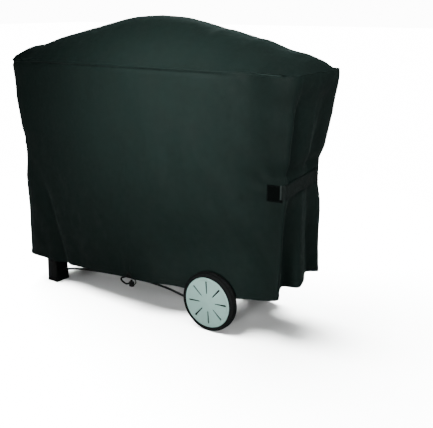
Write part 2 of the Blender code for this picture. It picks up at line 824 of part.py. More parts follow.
def wheel(word, facing, mats):
    """A plastic wheel with a rubber tyre, a bush on the axle and a slotted cap over its face."""
    centre = (AXLE_X, 0.0, AXLE_Z)
    near, far = facing * WHEEL_NEAR_Y, facing * WHEEL_FAR_Y
    tyre = (
        (TYRE_INNER_RADIUS, near),
        (TYRE_SIDE_RADIUS, near),
        (WHEEL_RADIUS, near + facing * TYRE_SHOULDER),
        (WHEEL_RADIUS, far - facing * TYRE_SHOULDER),
        (TYRE_SIDE_RADIUS, far),
        (TYRE_INNER_RADIUS, far),
    )
    lathe(f"tyre_{word}", tyre, mats["tyre"], "Y", centre, 32)
    rim_radius = TYRE_INNER_RADIUS - 0.0008
    rim_near = near + facing * 0.003
    rim_far = far - facing * RIM_SETBACK
    web_near = near + facing * WEB_NEAR
    web_far = near + facing * WEB_FAR
    rim = (
        (BUSH_RADIUS, near),
        (HUB_RADIUS, near),
        (HUB_RADIUS, web_near),
        (RIM_INNER_RADIUS, web_near),
        (RIM_INNER_RADIUS, rim_near),
        (rim_radius, rim_near),
        (rim_radius, rim_far),
        (RIM_INNER_RADIUS, rim_far),
        (RIM_INNER_RADIUS, web_far),
        (HUB_RADIUS, web_far),
        (HUB_RADIUS, rim_far),
        (BUSH_RADIUS, rim_far),
    )
    lathe(f"wheel_body_{word}", rim, mats["rim"], "Y", centre, 24)
    bore = AXLE_RADIUS + FIT_GAP
    bush_near = near + facing * 0.0005
    bush_far = rim_far - facing * 0.001
    bush_outer = BUSH_RADIUS - FIT_GAP
    bush = ((bore, bush_near), (bush_outer, bush_near), (bush_outer, bush_far), (bore, bush_far))
    lathe(f"wheel_bush_{word}", bush, mats["bush"], "Y", centre, 20)
    face = far - facing * 0.0005
    dish = face - facing * HUBCAP_DISH
    inner_face = dish - facing * HUBCAP_THICKNESS
    back = far - facing * 0.0075
    cap = (
        (0.0, dish),
        (HUBCAP_LIP_RADIUS - 0.006, dish),
        (HUBCAP_LIP_RADIUS, face),
        (HUBCAP_RADIUS, face - facing * 0.0015),
        (HUBCAP_RADIUS, back),
        (HUBCAP_LIP_RADIUS, back),
        (HUBCAP_LIP_RADIUS - 0.004, inner_face),
        (0.0, inner_face),
    )
    disc = lathe(f"hubcap_{word}", cap, mats["cap"], "Y", centre, 24)
    cut(disc, slot_cutter(f"slots_{word}", facing, mats["cap"]))


def slot_cutter(name, facing, mat):
    """Eight wedge-shaped bars that cut the slots of a wheel cap."""
    depths = sorted((facing * (WHEEL_FAR_Y - 0.020), facing * (WHEEL_FAR_Y + 0.010)))
    verts, faces = [], []
    for k in range(SLOTS):
        angle = 2 * math.pi * k / SLOTS + SLOT_TURN
        out = Vector((math.cos(angle), 0.0, math.sin(angle)))
        across = Vector((-math.sin(angle), 0.0, math.cos(angle)))
        base = len(verts)
        for y in depths:
            for radius, half in zip((SLOT_FROM, SLOT_TO), SLOT_HALF_WIDTHS):
                for sign in (-1, 1):
                    place = out * radius + across * sign * half
                    verts.append((AXLE_X + place.x, y, AXLE_Z + place.z))
        for face in BOX_FACES:
            faces.append(tuple(base + i for i in face))
    return mesh_object(name, verts, faces, mat)


# ---------------------------------------------------------------- grill


def bowl(mat):
    thickness = 0.018
    outside = ((0.0, 0.620), (0.60, 0.620), (0.80, 0.645), (0.93, 0.700), (1.0, BOWL_RIM_Z))
    inside = ((1.0 - thickness, BOWL_RIM_Z), (0.91, 0.703), (0.785, 0.651), (0.59, 0.625), (0.0, 0.625))
    lathe("bowl", outside + inside, mat, stretch=(BOWL_HALF_LENGTH, BOWL_HALF_DEPTH), segments=24)


def lid(mat):
    """Half an egg, open below, that sits on the bowl's rim."""
    bottom = BOWL_RIM_Z + SEAM_GAP
    rise = LID_TOP_Z - bottom
    thin = 0.020
    steps = 4
    outside, inside = [], []
    for k in range(steps + 1):
        angle = math.pi / 2 * k / steps
        outside.append((math.cos(angle), bottom + rise * math.sin(angle)))
        inside.append((math.cos(angle) * (1 - thin), bottom + (rise - 0.003) * math.sin(angle)))
    outside[-1] = (0.0, LID_TOP_Z)
    inside[-1] = (0.0, LID_TOP_Z - 0.003)
    profile = outside[::-1] + inside
    lathe("lid", profile, mat, stretch=(BOWL_HALF_LENGTH, BOWL_HALF_DEPTH), segments=24)


def lid_handle(mat):
    half = HANDLE_HALF
    route = (
        (-half, HANDLE_ROOT_Y, HANDLE_Z),
        (-half, -0.1400, HANDLE_Z),
        (-half + 0.002, -0.1520, HANDLE_Z),
        (-half + 0.010, HANDLE_Y, HANDLE_Z),
        (0.0, HANDLE_Y, HANDLE_Z),
        (half - 0.010, HANDLE_Y, HANDLE_Z),
        (half - 0.002, -0.1520, HANDLE_Z),
        (half, -0.1400, HANDLE_Z),
        (half, HANDLE_ROOT_Y, HANDLE_Z),
    )
    tube("lid_handle", smooth_route(route, 2), HANDLE_RADIUS, mat)


def lid_damper(disc_mat, rivet_mat):
    """A disc on top of the lid that turns to open the air holes, and the rivet it turns on."""
    low = LID_TOP_Z + 0.0008
    bore, top = 0.0026, DAMPER_THICKNESS
    profile = ((bore, 0.0), (DAMPER_RADIUS, 0.0), (DAMPER_RADIUS, top), (bore, top))
    disc = lathe("lid_damper", profile, disc_mat, centre=(0.0, 0.0, low), segments=32)
    tab_low = (-0.004, DAMPER_TAB_Y, 0.0)
    tab_high = (0.004, -0.026, DAMPER_THICKNESS)
    tab = box("damper_tab", tab_low, tab_high, disc_mat, bevel=0)
    tab.location.z += low
    cut(disc, tab, "UNION")
    rivet = (
        (0.0, LID_TOP_Z + FIT_GAP),
        (0.0022, LID_TOP_Z + FIT_GAP),
        (0.0022, low + 0.0022),
        (0.0055, low + 0.0022),
        (0.0045, low + 0.0042),
        (0.0, low + 0.0042),
    )
    lathe("damper_rivet", rivet, rivet_mat, segments=16)


def grate(name, scale, z, bars, mat):
    """An oval wire rack: a rim with bars across it."""
    wire = 0.004
    profile = ((scale, z), (scale, z + wire), (scale - 0.05, z + wire), (scale - 0.05, z))
    rack = lathe(name, profile, mat, stretch=(BOWL_HALF_LENGTH, BOWL_HALF_DEPTH), segments=24)
    middle = scale - 0.03
    boxes = []
    for k in range(bars):
        place = (2 * (k + 1) / (bars + 1) - 1) * middle
        x = place * BOWL_HALF_LENGTH
        reach = math.sqrt(middle**2 - place**2) * BOWL_HALF_DEPTH
        boxes.append(((x - wire / 2, -reach, z + 0.0005), (x + wire / 2, reach, z + wire - 0.0005)))
    cut(rack, bars_mesh(f"{name}_bars", boxes, mat), "UNION")


def ash_pan(mat):
    low, high = (-0.085, -0.0825, 0.572), (0.085, 0.0825, 0.5995)
    wall = 0.002
    pan = box("ash_pan", low, high, mat, bevel=0)
    inner_low = tuple(v + wall for v in low)
    inner_high = (high[0] - wall, high[1] - wall, high[2] + 0.01)
    cut(pan, box("ash_pan_hollow", inner_low, inner_high, mat, bevel=0))


def lid_hinge(mat):
    """The hinge block behind the lid that keeps it on the bowl."""
    for x, word in ((-0.06, "left"), (0.06, "right")):
        y = BOWL_HALF_DEPTH * math.sqrt(1 - (x / BOWL_HALF_LENGTH) ** 2) + 0.0035
        box(f"lid_hinge_{word}", (x - 0.012, y, 0.745), (x + 0.012, y + 0.010, 0.790), mat, bevel=0.002)


# ---------------------------------------------------------------- assembly


def build():
    clear_scene()
    cloth = material("cover_cloth", (0.012, 0.023, 0.021), 0.75)
    webbing = material("strap_webbing", (0.020, 0.030, 0.029), 0.80)
    tape = material("hook_tape", (0.006, 0.008, 0.008), 0.95)
    cord = material("drawcord", (0.010, 0.012, 0.012), 0.80)
    plastic = material("black_plastic", (0.010, 0.012, 0.012), 0.50)
    brass = material("eyelet_metal", (0.16, 0.15, 0.13), 0.40, 1.0)
    spring = material("spring_steel", (0.55, 0.55, 0.55), 0.35, 1.0)
    steel = material("black_steel", (0.012, 0.013, 0.013), 0.45, 0.2)
    axle_steel = material("axle_steel", (0.45, 0.46, 0.46), 0.35, 1.0)
    rubber = material("tyre_rubber", (0.010, 0.010, 0.010), 0.85)
    rim = material("wheel_plastic", (0.012, 0.012, 0.012), 0.55)
    bush = material("bush_nylon", (0.60, 0.60, 0.57), 0.50)
    cap = material("hubcap_plastic", (0.28, 0.38, 0.36), 0.45)
    enamel = material("black_enamel", (0.010, 0.010, 0.011), 0.25)
    iron = material("grate_iron", (0.035, 0.034, 0.033), 0.60, 0.8)
    table = material("table_plastic", (0.045, 0.048, 0.048), 0.55)

    roof_panel(cloth)
    walls(cloth)
    strap_set(1, webbing, tape)
    strap_set(-1, webbing, tape)
    drawcord(cord)
    eyelet(brass)
    cord_lock(plastic, plastic, spring)
    cord_leads(cord)

    cart_frame(steel, plastic, steel)
    side_table("side_table_left", -1, table)
    side_table("side_table_right", 1, table)
    axle(axle_steel)
    wheel_mats = {"tyre": rubber, "rim": rim, "bush": bush, "cap": cap}
    wheel("front", -1, wheel_mats)
    wheel("rear", 1, wheel_mats)

    bowl(enamel)
    lid(enamel)
    lid_handle(plastic)
    lid_damper(axle_steel, axle_steel)
    lid_hinge(steel)
    grate("cooking_grate", 0.93, 0.744, 11, iron)
    grate("charcoal_grate", 0.78, 0.664, 7, iron)
    ash_pan(steel)


build()
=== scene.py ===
"""The looks of the grill cover: draped cloth, straps, wheels, cart and the grill inside it."""

import contextlib
import json
import math

import bmesh
import bpy
import numpy as np
from mathutils import Matrix, Vector, noise
from mathutils.bvhtree import BVHTree


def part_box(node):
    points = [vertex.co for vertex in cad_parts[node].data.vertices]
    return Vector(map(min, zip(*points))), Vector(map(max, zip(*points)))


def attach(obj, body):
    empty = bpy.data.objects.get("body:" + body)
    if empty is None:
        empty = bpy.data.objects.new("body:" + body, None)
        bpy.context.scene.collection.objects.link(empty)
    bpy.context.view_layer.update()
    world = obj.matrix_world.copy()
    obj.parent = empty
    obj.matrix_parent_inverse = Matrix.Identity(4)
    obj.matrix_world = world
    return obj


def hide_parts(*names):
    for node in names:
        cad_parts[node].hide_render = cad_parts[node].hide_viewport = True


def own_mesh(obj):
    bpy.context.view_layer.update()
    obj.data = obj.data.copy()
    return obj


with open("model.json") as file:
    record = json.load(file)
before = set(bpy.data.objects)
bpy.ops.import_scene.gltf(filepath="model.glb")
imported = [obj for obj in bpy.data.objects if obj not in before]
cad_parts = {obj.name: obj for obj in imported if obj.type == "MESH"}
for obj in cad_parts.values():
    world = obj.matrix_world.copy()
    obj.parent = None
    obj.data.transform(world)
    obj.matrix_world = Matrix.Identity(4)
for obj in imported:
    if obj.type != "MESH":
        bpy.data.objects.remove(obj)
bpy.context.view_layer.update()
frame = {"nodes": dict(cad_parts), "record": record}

# ---------------------------------------------------------------- sizes, the same as in the CAD

SEAM_Z = 0.845
SEAM_SAG = -0.007
HALF_LENGTH = 0.575
END_HALF_DEPTH = 0.148
SEAM_BOW = 0.052
HEM_BOW = 0.032
ROOF_CROWN_POWER = 2.4
ROOF_RINGS, ROOF_RIDGE_HALF = 46, 0.470
ROOF_RIDGE = ((0.0, 1.0), (0.095, 0.993), (0.25, 0.959), (0.42, 0.921), (0.54, 0.888), (0.575, 0.840))
RIGHT_FRONT_EDGE = ((0.10, 0.548), (0.30, 0.556), (0.47, 0.562), (0.542, 0.562), (0.70, 0.571), (0.84, 0.575))
RIGHT_BACK_EDGE = ((0.10, 0.541), (0.30, 0.532), (0.47, 0.524), (0.542, 0.524), (0.70, 0.556), (0.84, 0.575))
LEFT_EDGE = ((0.10, 0.553), (0.30, 0.549), (0.47, 0.543), (0.542, 0.543), (0.70, 0.568), (0.84, 0.575))
HEM_LINE = (
    (-0.575, 0.100), (-0.35, 0.101), (-0.10, 0.117), (0.08, 0.121),
    (0.20, 0.112), (0.30, 0.114), (0.40, 0.121), (0.575, 0.163),
)
TUCKED_HALF_DEPTH = 0.130
TUCK_FLAT, TUCK_END, TUCK_TOP, TUCK_FADED = 0.115, 0.260, 0.210, 0.420
STRAP_Z, STRAP_HEIGHT, STRAP_THICKNESS, STRAP_STAND_OFF = 0.506, 0.043, 0.0022, 0.0018
STRAP_ROOT_Y, STRAP_TIP_LENGTH, CORNER_RADIUS = 0.125, 0.005, 0.008
PATCH_WIDTH, PATCH_HEIGHT, PATCH_EDGE = 0.050, 0.050, 0.005
EYELET_X, EYELET_Z = -0.025, 0.130
LOCK_X, LOCK_Z, LOCK_SIZE = -0.0045, 0.1065, (0.018, 0.0145, 0.017)
LOCK_CORNER, LOCK_SLOT = 0.0058, "fittings_plastic"
CORD_RADIUS, LEAD_RADIUS = 0.002, 0.003
AXLE_X, AXLE_Z = 0.295, 0.100
HUBCAP_SLOTS, WHEEL_RIBS = 8, 10
TIE_ROD_Y, TIE_ROD_RADIUS = 0.109, 0.004
BOWL_HALF_LENGTH, BOWL_HALF_DEPTH, BOWL_RIM_Z, LID_TOP_Z = 0.250, 0.140, 0.768, 0.972
HANDLE_Y, HANDLE_Z, HANDLE_RADIUS = -0.158, 0.862, 0.006
# The cord from the eyelet to the lock and from the lock back, as (x, y, z) from the drawcord's ends
LEAD_ROUTE = (
    (-0.0022, -0.0006, 0.0), (-0.0034, -0.0060, -0.0010),
    (-0.0085, -0.0082, -0.0034), (-0.0160, -0.0078, -0.0068),
    (-0.0245, -0.0074, -0.0105), (-0.0275, -0.0072, -0.0160),
    (-0.0235, -0.0072, -0.0215), (-0.0150, -0.0072, -0.0258),
    (-0.0050, -0.0072, -0.0285), (0.0030, -0.0072, -0.0265),
    (0.0070, -0.0072, -0.0250), (0.0112, -0.0072, -0.0250),
)
RETURN_ROUTE = (
    (0.0298, -0.0072, -0.0225), (0.0318, -0.0072, -0.0225),
    (0.0356, -0.0072, -0.0205), (0.0387, -0.0072, -0.0162),
    (0.0390, -0.0072, -0.0105), (0.0359, -0.0072, -0.0057),
    (0.0306, -0.0072, -0.0033), (0.0230, -0.0074, -0.0026),
    (0.0160, -0.0078, -0.0020), (0.0095, -0.0080, -0.0012),
    (0.0050, -0.0056, -0.0004), (0.0034, -0.0006, 0.0),
)

# ---------------------------------------------------------------- looks: thickness, light and camera

CLOTH = 0.0012
TAPE_TUFT, TAPE_GAP, LOOP_TAPE_FACE, ANCHOR_FACE = 0.00012, 0.0003, 0.0016, 0.0024
HEM_STITCH, TAPE_STITCH, STRAP_STITCH = (0.0044, 0.0032), (0.0034, 0.0025), (0.0032, 0.0024)  # pitch, length
CAMERA_PLACE, CAMERA_LENS, CAMERA_SENSOR = (1.5244, -1.9125, 1.0355), 58.93, 36.0
CAMERA_DOWN, CAMERA_TURN = 16.5194, 34.3134
BACKDROP, WORLD_LIGHT, WORLD_TINT = 16.0, 0.05, (0.92, 0.97, 1.0, 1.0)
FLOOR_LIT, FLOOR_SEEN, FLOOR_GLOW = (0.018, 0.018, 0.018, 1.0), (0.80, 0.82, 0.81, 1.0), 0.05
FLOOR_HALF, FLOOR_FADE = 30, (0.9, 2.4)
# The soft boxes, as (place, target, sides, watts, spread in degrees)
LIGHTS = {
    "key": ((0.52, -1.16, 1.18), (0.14, -0.19, 0.80), (0.7, 0.7), 5.6, 47.0),
    "low": ((0.66, -1.90, 0.36), (0.38, -0.16, 0.16), (0.35, 0.35), 0.62, 20.0),
    "top": ((1.15, -0.2, 2.3), (0.66, 0.0, 0.85), (0.6, 0.6), 1.1, 46.0),
    "side": ((2.2, -0.85, 1.30), (0.35, -0.10, 0.70), (0.7, 0.7), 5.0, 90.0),
    "back": ((-1.2, 2.4, 0.75), (-0.1, 0.15, 0.42), (1.2, 1.0), 11.0, 80.0),
    # Two for the cover when it is lifted
    "high_front": ((1.7, -2.3, 2.7), (0.0, 0.0, 1.72), (0.5, 0.5), 6.0, 19.0),
    "high_back": ((-1.6, 2.4, 2.3), (0.0, 0.0, 1.70), (0.5, 0.5), 4.5, 18.0),
    "ground": ((-1.05, 0.08, 3.0), (0.0, 0.0, 0.0), (4.6, 3.2), 4300.0, 180.0),
}

# ---------------------------------------------------------------- camera, light and floor


def link(obj):
    bpy.context.scene.collection.objects.link(obj)
    return obj


def camera():
    data = bpy.data.cameras.new("camera")
    data.lens, data.sensor_width = CAMERA_LENS, CAMERA_SENSOR
    obj = link(bpy.data.objects.new("camera", data))
    obj.location = CAMERA_PLACE
    obj.rotation_euler = (math.radians(90 - CAMERA_DOWN), 0.0, math.radians(CAMERA_TURN))
    bpy.context.scene.camera = obj


def soft_box(name, place, target, size, power, spread):
    data = bpy.data.lights.new(name, "AREA")
    data.shape = "RECTANGLE"
    data.size, data.size_y = size
    data.energy = power
    data.spread = math.radians(spread)
    obj = link(bpy.data.objects.new(name, data))
    obj.location = place
    obj.rotation_euler = (Vector(target) - Vector(place)).to_track_quat("-Z", "Y").to_euler()
    return obj


class Nodes:
    """Short ways to add nodes to a tree and to join them."""

    def __init__(self, tree):
        self.nodes, self.links = tree.nodes, tree.links

    def add(self, kind, props=None, **inputs):
        """A node with its inputs set by name, or by number as i0, i1 and so on."""
        node = self.nodes.new("ShaderNode" + kind)
        for key, value in (props or {}).items():
            setattr(node, key, value)
        for key, value in inputs.items():
            numbered = key[0] == "i" and key[1:].isdigit()
            self.put(node.inputs[int(key[1:]) if numbered else key.replace("_", " ")], value)
        return node

    def put(self, socket, value):
        if isinstance(value, bpy.types.NodeSocket):
            self.links.new(value, socket)
        else:
            socket.default_value = value

    def seen_or_lit(self, output, seen, lit):
        """Shows one shader to the camera and lights the object with the other."""
        camera_ray = self.add("LightPath").outputs["Is Camera Ray"]
        both = self.add("MixShader", i0=camera_ray, i1=lit.outputs[0], i2=seen.outputs[0])
        self.put(self.nodes[output].inputs["Surface"], both.outputs[0])


def backdrop():
    world = bpy.data.worlds.new("studio")
    world.use_nodes = True
    tree = Nodes(world.node_tree)
    soft = tree.nodes["Background"]
    soft.inputs["Color"].default_value = WORLD_TINT
    soft.inputs["Strength"].default_value = WORLD_LIGHT
    tree.seen_or_lit("World Output", tree.add("Background", Strength=BACKDROP), soft)
    bpy.context.scene.world = world


def floor_finish():
    """White to the camera, fading into the backdrop, and dark to the light that it would throw back."""
    mat = bpy.data.materials.new("floor")
    mat.use_nodes = True
    tree = Nodes(mat.node_tree)
    tree.nodes.remove(tree.nodes["Principled BSDF"])
    plain = tree.add("BsdfDiffuse", Color=FLOOR_LIT)
    bright = tree.add("BsdfDiffuse", Color=FLOOR_SEEN)
    glow = tree.add("Emission", Strength=FLOOR_GLOW)
    near = tree.add("AddShader", i0=bright.outputs[0], i1=glow.outputs[0])
    far = tree.add("Emission", Strength=BACKDROP)
    place = tree.add("NewGeometry").outputs["Position"]
    reach = tree.add("VectorMath", {"operation": "LENGTH"}, i0=place).outputs["Value"]
    start, end = FLOOR_FADE
    fade = tree.add(
        "MapRange", {"interpolation_type": "SMOOTHSTEP"}, Value=reach, From_Min=start, From_Max=end
    )
    ground = tree.add("MixShader", i0=fade.outputs["Result"], i1=near.outputs[0], i2=far.outputs[0])
    tree.seen_or_lit("Material Output", ground, plain)
    return mat


def studio():
    """The backdrop, the floor and the lights. The ground light lights only the floor's own collection."""
    backdrop()
    mesh = bpy.data.meshes.new("floor")
    corners = [(x * FLOOR_HALF, y * FLOOR_HALF, 0) for x, y in ((-1, -1), (1, -1), (1, 1), (-1, 1))]
    mesh.from_pydata(corners, [], [(0, 1, 2, 3)])
    mesh.materials.append(floor_finish())
    floor = bpy.data.objects.new("floor", mesh)
    ground_only = bpy.data.collections.new("ground")
    bpy.context.scene.collection.children.link(ground_only)
    ground_only.objects.link(floor)
    for name, settings in LIGHTS.items():
        light = soft_box(name, *settings)
        if name == "ground":
            light.light_linking.receiver_collection = ground_only


# ---------------------------------------------------------------- materials


class Finish(Nodes):
    """A Principled material, with noise, weave and bump for its look."""

    def __init__(self, name, **sockets):
        self.mat = bpy.data.materials.new(name)
        self.mat.use_nodes = True
        super().__init__(self.mat.node_tree)
        self.shader = self.nodes["Principled BSDF"]
        for socket, value in sockets.items():
            self.shader.inputs[socket.replace("_", " ")].default_value = value

    def place(self, stretch=(1.0, 1.0, 1.0)):
        coords = self.add("TexCoord").outputs["Object"]
        return self.add("Mapping", Vector=coords, Scale=stretch).outputs["Vector"]

    def noise(self, scale, detail=3.0, roughness=0.5, vector=None, distortion=0.0):
        vector = vector or self.place()
        node = self.add(
            "TexNoise", Vector=vector, Scale=scale, Detail=detail, Roughness=roughness,
            Distortion=distortion,
        )
        return node.outputs["Fac"]

    def cells(self, scale):
        return self.add("TexVoronoi", Vector=self.place(), Scale=scale).outputs["Distance"]

    def math(self, operation, a, b=0.0, c=0.0):
        return self.add("Math", {"operation": operation}, i0=a, i1=b, i2=c).outputs[0]

    def ramp(self, value, low, high, to_low=0.0, to_high=1.0):
        """The value's range from low to high, stretched to the new range."""
        ends = {"From_Min": low, "From_Max": high, "To_Min": to_low, "To_Max": to_high}
        return self.add("MapRange", Value=value, **ends).outputs["Result"]

    def mix(self, factor, a, b):
        a, b = (c if isinstance(c, bpy.types.NodeSocket) else (*c, 1.0) for c in (a, b))
        return self.add("Mix", {"data_type": "RGBA"}, i0=factor, i6=a, i7=b).outputs[2]

    def colour(self, value):
        self.put(self.shader.inputs["Base Color"], value)
        return self

    def rough(self, value):
        self.put(self.shader.inputs["Roughness"], value)
        return self

    def bump(self, height, distance, strength=1.0):
        node = self.add("Bump", Height=height, Distance=distance, Strength=strength)
        before = self.shader.inputs["Normal"]
        if before.is_linked:
            self.links.new(before.links[0].from_socket, node.inputs["Normal"])
        self.links.new(node.outputs["Normal"], before)
        return self

    def uv(self):
        return self.add("UVMap", {"uv_map": "cloth"}).outputs["UV"]

    def weave(self, pitch, along=1.0):
        """Plain weave: threads over and under each other on the cloth's own metre grid."""
        parts = self.add("SeparateXYZ", Vector=self.uv()).outputs
        a = self.math("COSINE", self.math("MULTIPLY", parts["X"], math.pi / pitch))
        b = self.math("COSINE", self.math("MULTIPLY", parts["Y"], math.pi / (pitch * along)))
        return self.math("MULTIPLY_ADD", self.math("MULTIPLY", a, b), 0.5, 0.5)


def scaled(colour, factor):
    return tuple(min(c * factor, 1.0) for c in colour)


CLOTH_WEAVE, WEBBING_WEAVE = 0.0009, 0.0019
# What the cloth's smudges do to its red, green and blue
CLOTH_TINTS = ((1.12, 0.96, 0.94), (0.92, 1.06, 1.04))


def cloth_finish(name, base):
    """Woven cloth, a little cloudy, with smudges, fibres and soft dents."""
    f = Finish(
        name, Sheen_Weight=0.035, Sheen_Roughness=0.45, Sheen_Tint=(0.6, 1.0, 0.9, 1.0),
        Specular_IOR_Level=0.15,
    )
    cloudy = f.ramp(f.noise(5.0, 4.0, 0.55), 0.32, 0.68)
    fibres = f.ramp(f.noise(900.0, 2.0, 0.6, f.place((1.0, 1.0, 0.35))), 0.3, 0.7)
    weave = f.weave(CLOTH_WEAVE)
    smudges = f.ramp(f.noise(17.0, 4.0, 0.6), 0.34, 0.66)
    warmer, cooler = ([c * k for c, k in zip(base, tint)] for tint in CLOTH_TINTS)
    faded = f.mix(smudges, warmer, cooler)
    body = f.mix(f.math("MULTIPLY", cloudy, 0.35), faded, scaled(base, 0.55))
    threads = f.mix(f.math("MULTIPLY", weave, 0.5), body, scaled(base, 0.72))
    f.colour(f.mix(f.math("MULTIPLY", fibres, 0.22), threads, scaled(base, 1.7)))
    f.rough(f.ramp(f.noise(30.0, 3.0), 0.3, 0.7, 0.62, 0.78))
    f.bump(f.noise(38.0, 4.0, 0.6), 0.0012, 0.55)
    f.bump(weave, 0.00022, 0.6)
    return f.mat


def webbing_finish(name, base):
    """Coarse webbing with rows across it."""
    f = Finish(
        name, Sheen_Weight=0.02, Sheen_Roughness=0.5, Sheen_Tint=(0.6, 1.0, 0.9, 1.0),
        Specular_IOR_Level=0.12,
    )
    weave = f.weave(WEBBING_WEAVE, 0.45)
    parts = f.add("SeparateXYZ", Vector=f.uv()).outputs
    rows = f.math("COSINE", f.math("MULTIPLY", parts["Y"], math.pi / WEBBING_WEAVE))
    body = f.mix(f.ramp(f.noise(60.0, 3.0), 0.3, 0.7), scaled(base, 0.85), scaled(base, 1.15))
    f.colour(f.mix(f.math("MULTIPLY", weave, 0.6), body, scaled(base, 0.6)))
    f.rough(f.ramp(f.noise(90.0, 2.0), 0.3, 0.7, 0.62, 0.80))
    f.bump(rows, 0.0004, 0.5).bump(weave, 0.0004, 0.8)
    return f.mat


def hook_finish(name, base):
    """Hook-and-loop tape: small loops in tufts."""
    f = Finish(name, Specular_IOR_Level=0.05)
    hooks = f.cells(1100.0)
    tufts = f.noise(420.0, 3.0, 0.7)
    f.colour(f.mix(f.ramp(tufts, 0.35, 0.7), scaled(base, 0.5), scaled(base, 2.6)))
    f.rough(f.ramp(tufts, 0.3, 0.7, 0.80, 0.96))
    f.bump(hooks, 0.0006, 0.9).bump(tufts, 0.0008, 0.7)
    return f.mat


def thread_finish(name, base):
    """Twisted sewing thread."""
    f = Finish(name, Sheen_Weight=0.04, Sheen_Roughness=0.4, Specular_IOR_Level=0.15)
    twist = f.add(
        "TexWave", {"bands_direction": "DIAGONAL"}, Vector=f.place(), Scale=900.0, Distortion=0.6
    ).outputs["Fac"]
    f.colour(f.mix(twist, scaled(base, 0.7), scaled(base, 1.3)))
    f.rough(f.ramp(f.noise(300.0), 0.3, 0.7, 0.5, 0.7))
    f.bump(twist, 0.0002, 0.6)
    return f.mat


def braid_finish(name, base):
    """Braided cord, with bands that cross."""
    f = Finish(name, Sheen_Weight=0.03, Sheen_Roughness=0.4, Specular_IOR_Level=0.15)
    waves = []
    for direction, turn in (("DIAGONAL", (0.0, 0.0, 0.0)), ("DIAGONAL", (0.0, math.pi / 2, 0.0))):
        coords = f.add("TexCoord").outputs["Object"]
        place = f.add("Mapping", Vector=coords, Rotation=turn).outputs["Vector"]
        node = f.add("TexWave", {"bands_direction": direction}, Vector=place, Scale=260.0, Distortion=0.4)
        waves.append(node.outputs["Fac"])
    braid = f.math("MAXIMUM", *waves)
    f.colour(f.mix(braid, scaled(base, 0.45), scaled(base, 1.6)))
    f.rough(f.ramp(f.noise(200.0), 0.3, 0.7, 0.55, 0.75))
    f.bump(braid, 0.0005, 0.8)
    return f.mat


def moulded_finish(name, base, rough=0.48, grain=1400.0, depth=0.00012, cloud=0.10, coat=0.0, gloss=0.2):
    """Moulded plastic: fine spark grain, faint flow marks and rubbed edges."""
    f = Finish(name, Specular_IOR_Level=gloss, Coat_Weight=coat, Coat_Roughness=0.25)
    grains = f.noise(grain, 2.0, 0.6)
    flow = f.noise(24.0, 4.0, 0.55, None, 0.8)
    edge = f.ramp(f.add("NewGeometry").outputs["Pointiness"], 0.52, 0.60)
    scuffs = f.math("MULTIPLY", edge, f.ramp(f.noise(160.0, 3.0), 0.42, 0.62))
    body = f.mix(f.ramp(flow, 0.3, 0.7), scaled(base, 1 - cloud), scaled(base, 1 + cloud))
    f.colour(f.mix(f.math("MULTIPLY", scuffs, 0.35), body, scaled(base, 2.2)))
    f.rough(f.ramp(flow, 0.3, 0.7, rough - 0.06, rough + 0.08))
    f.bump(grains, depth, 0.6).bump(flow, 0.0006, 0.25)
    return f.mat


def painted_finish(name, base, rough, coat=0.0, peel=520.0, depth=0.00015, dust=0.12):
    """Sprayed or enamelled steel: orange peel, a little dust and rubbed edges."""
    f = Finish(name, Specular_IOR_Level=0.5, Coat_Weight=coat, Coat_Roughness=0.08)
    skin = f.noise(peel, 2.0, 0.5)
    marks = f.noise(36.0, 5.0, 0.65)
    edge = f.ramp(f.add("NewGeometry").outputs["Pointiness"], 0.52, 0.62)
    body = f.mix(f.math("MULTIPLY", f.ramp(marks, 0.45, 0.75), dust), base, (0.04, 0.04, 0.038))
    f.colour(f.mix(f.math("MULTIPLY", edge, 0.2), body, (0.035, 0.035, 0.035)))
    f.rough(f.ramp(marks, 0.3, 0.75, rough, rough + 0.14))
    f.bump(skin, depth, 0.5)
    return f.mat


def steel_finish(name, base, rough, stretch=(1.0, 1.0, 40.0)):
    """Plated or brushed steel, with fine lines and dull patches."""
    f = Finish(name, Metallic=1.0)
    lines = f.noise(120.0, 3.0, 0.6, f.place(stretch))
    dull = f.noise(30.0, 4.0, 0.6)
    f.colour(f.mix(f.ramp(dull, 0.35, 0.7), base, scaled(base, 0.62)))
    worn = f.ramp(lines, 0.3, 0.7, rough - 0.06, rough + 0.08)
    f.rough(f.math("ADD", worn, f.ramp(dull, 0.4, 0.8, 0.0, 0.12)))
    f.bump(lines, 0.00012, 0.5)
    return f.mat


def iron_finish(name, base):
    """Cast iron, pitted and seasoned in patches."""
    f = Finish(name, Metallic=0.5, Specular_IOR_Level=0.5)
    pits = f.noise(420.0, 4.0, 0.7)
    season = f.noise(26.0, 4.0, 0.6)
    f.colour(f.mix(f.ramp(season, 0.35, 0.7), base, (0.055, 0.038, 0.028)))
    f.rough(f.ramp(season, 0.3, 0.7, 0.42, 0.70))
    f.bump(pits, 0.0005, 0.7)
    return f.mat


def rubber_finish(name, base):
    """Tyre rubber with a little dust, and rounded edges painted lighter: a painted highlight on the
    shoulders, with some dust.
    """
    f = Finish(name, Specular_IOR_Level=0.12)
    grains = f.noise(800.0, 2.0, 0.6)
    dust = f.noise(20.0, 5.0, 0.65)
    # The rounded edges are lightened: a painted highlight on the tyre's shoulders, with some dust on them
    edge = f.ramp(f.add("NewGeometry").outputs["Pointiness"], 0.51, 0.58)
    body = f.mix(f.math("MULTIPLY", f.ramp(dust, 0.4, 0.75), 0.35), base, (0.0075, 0.0080, 0.0076))
    f.colour(f.mix(f.math("MULTIPLY", edge, 0.6), body, (0.030, 0.032, 0.031)))
    f.rough(f.ramp(dust, 0.3, 0.7, 0.72, 0.90))
    f.bump(grains, 0.00025, 0.7)
    return f.mat


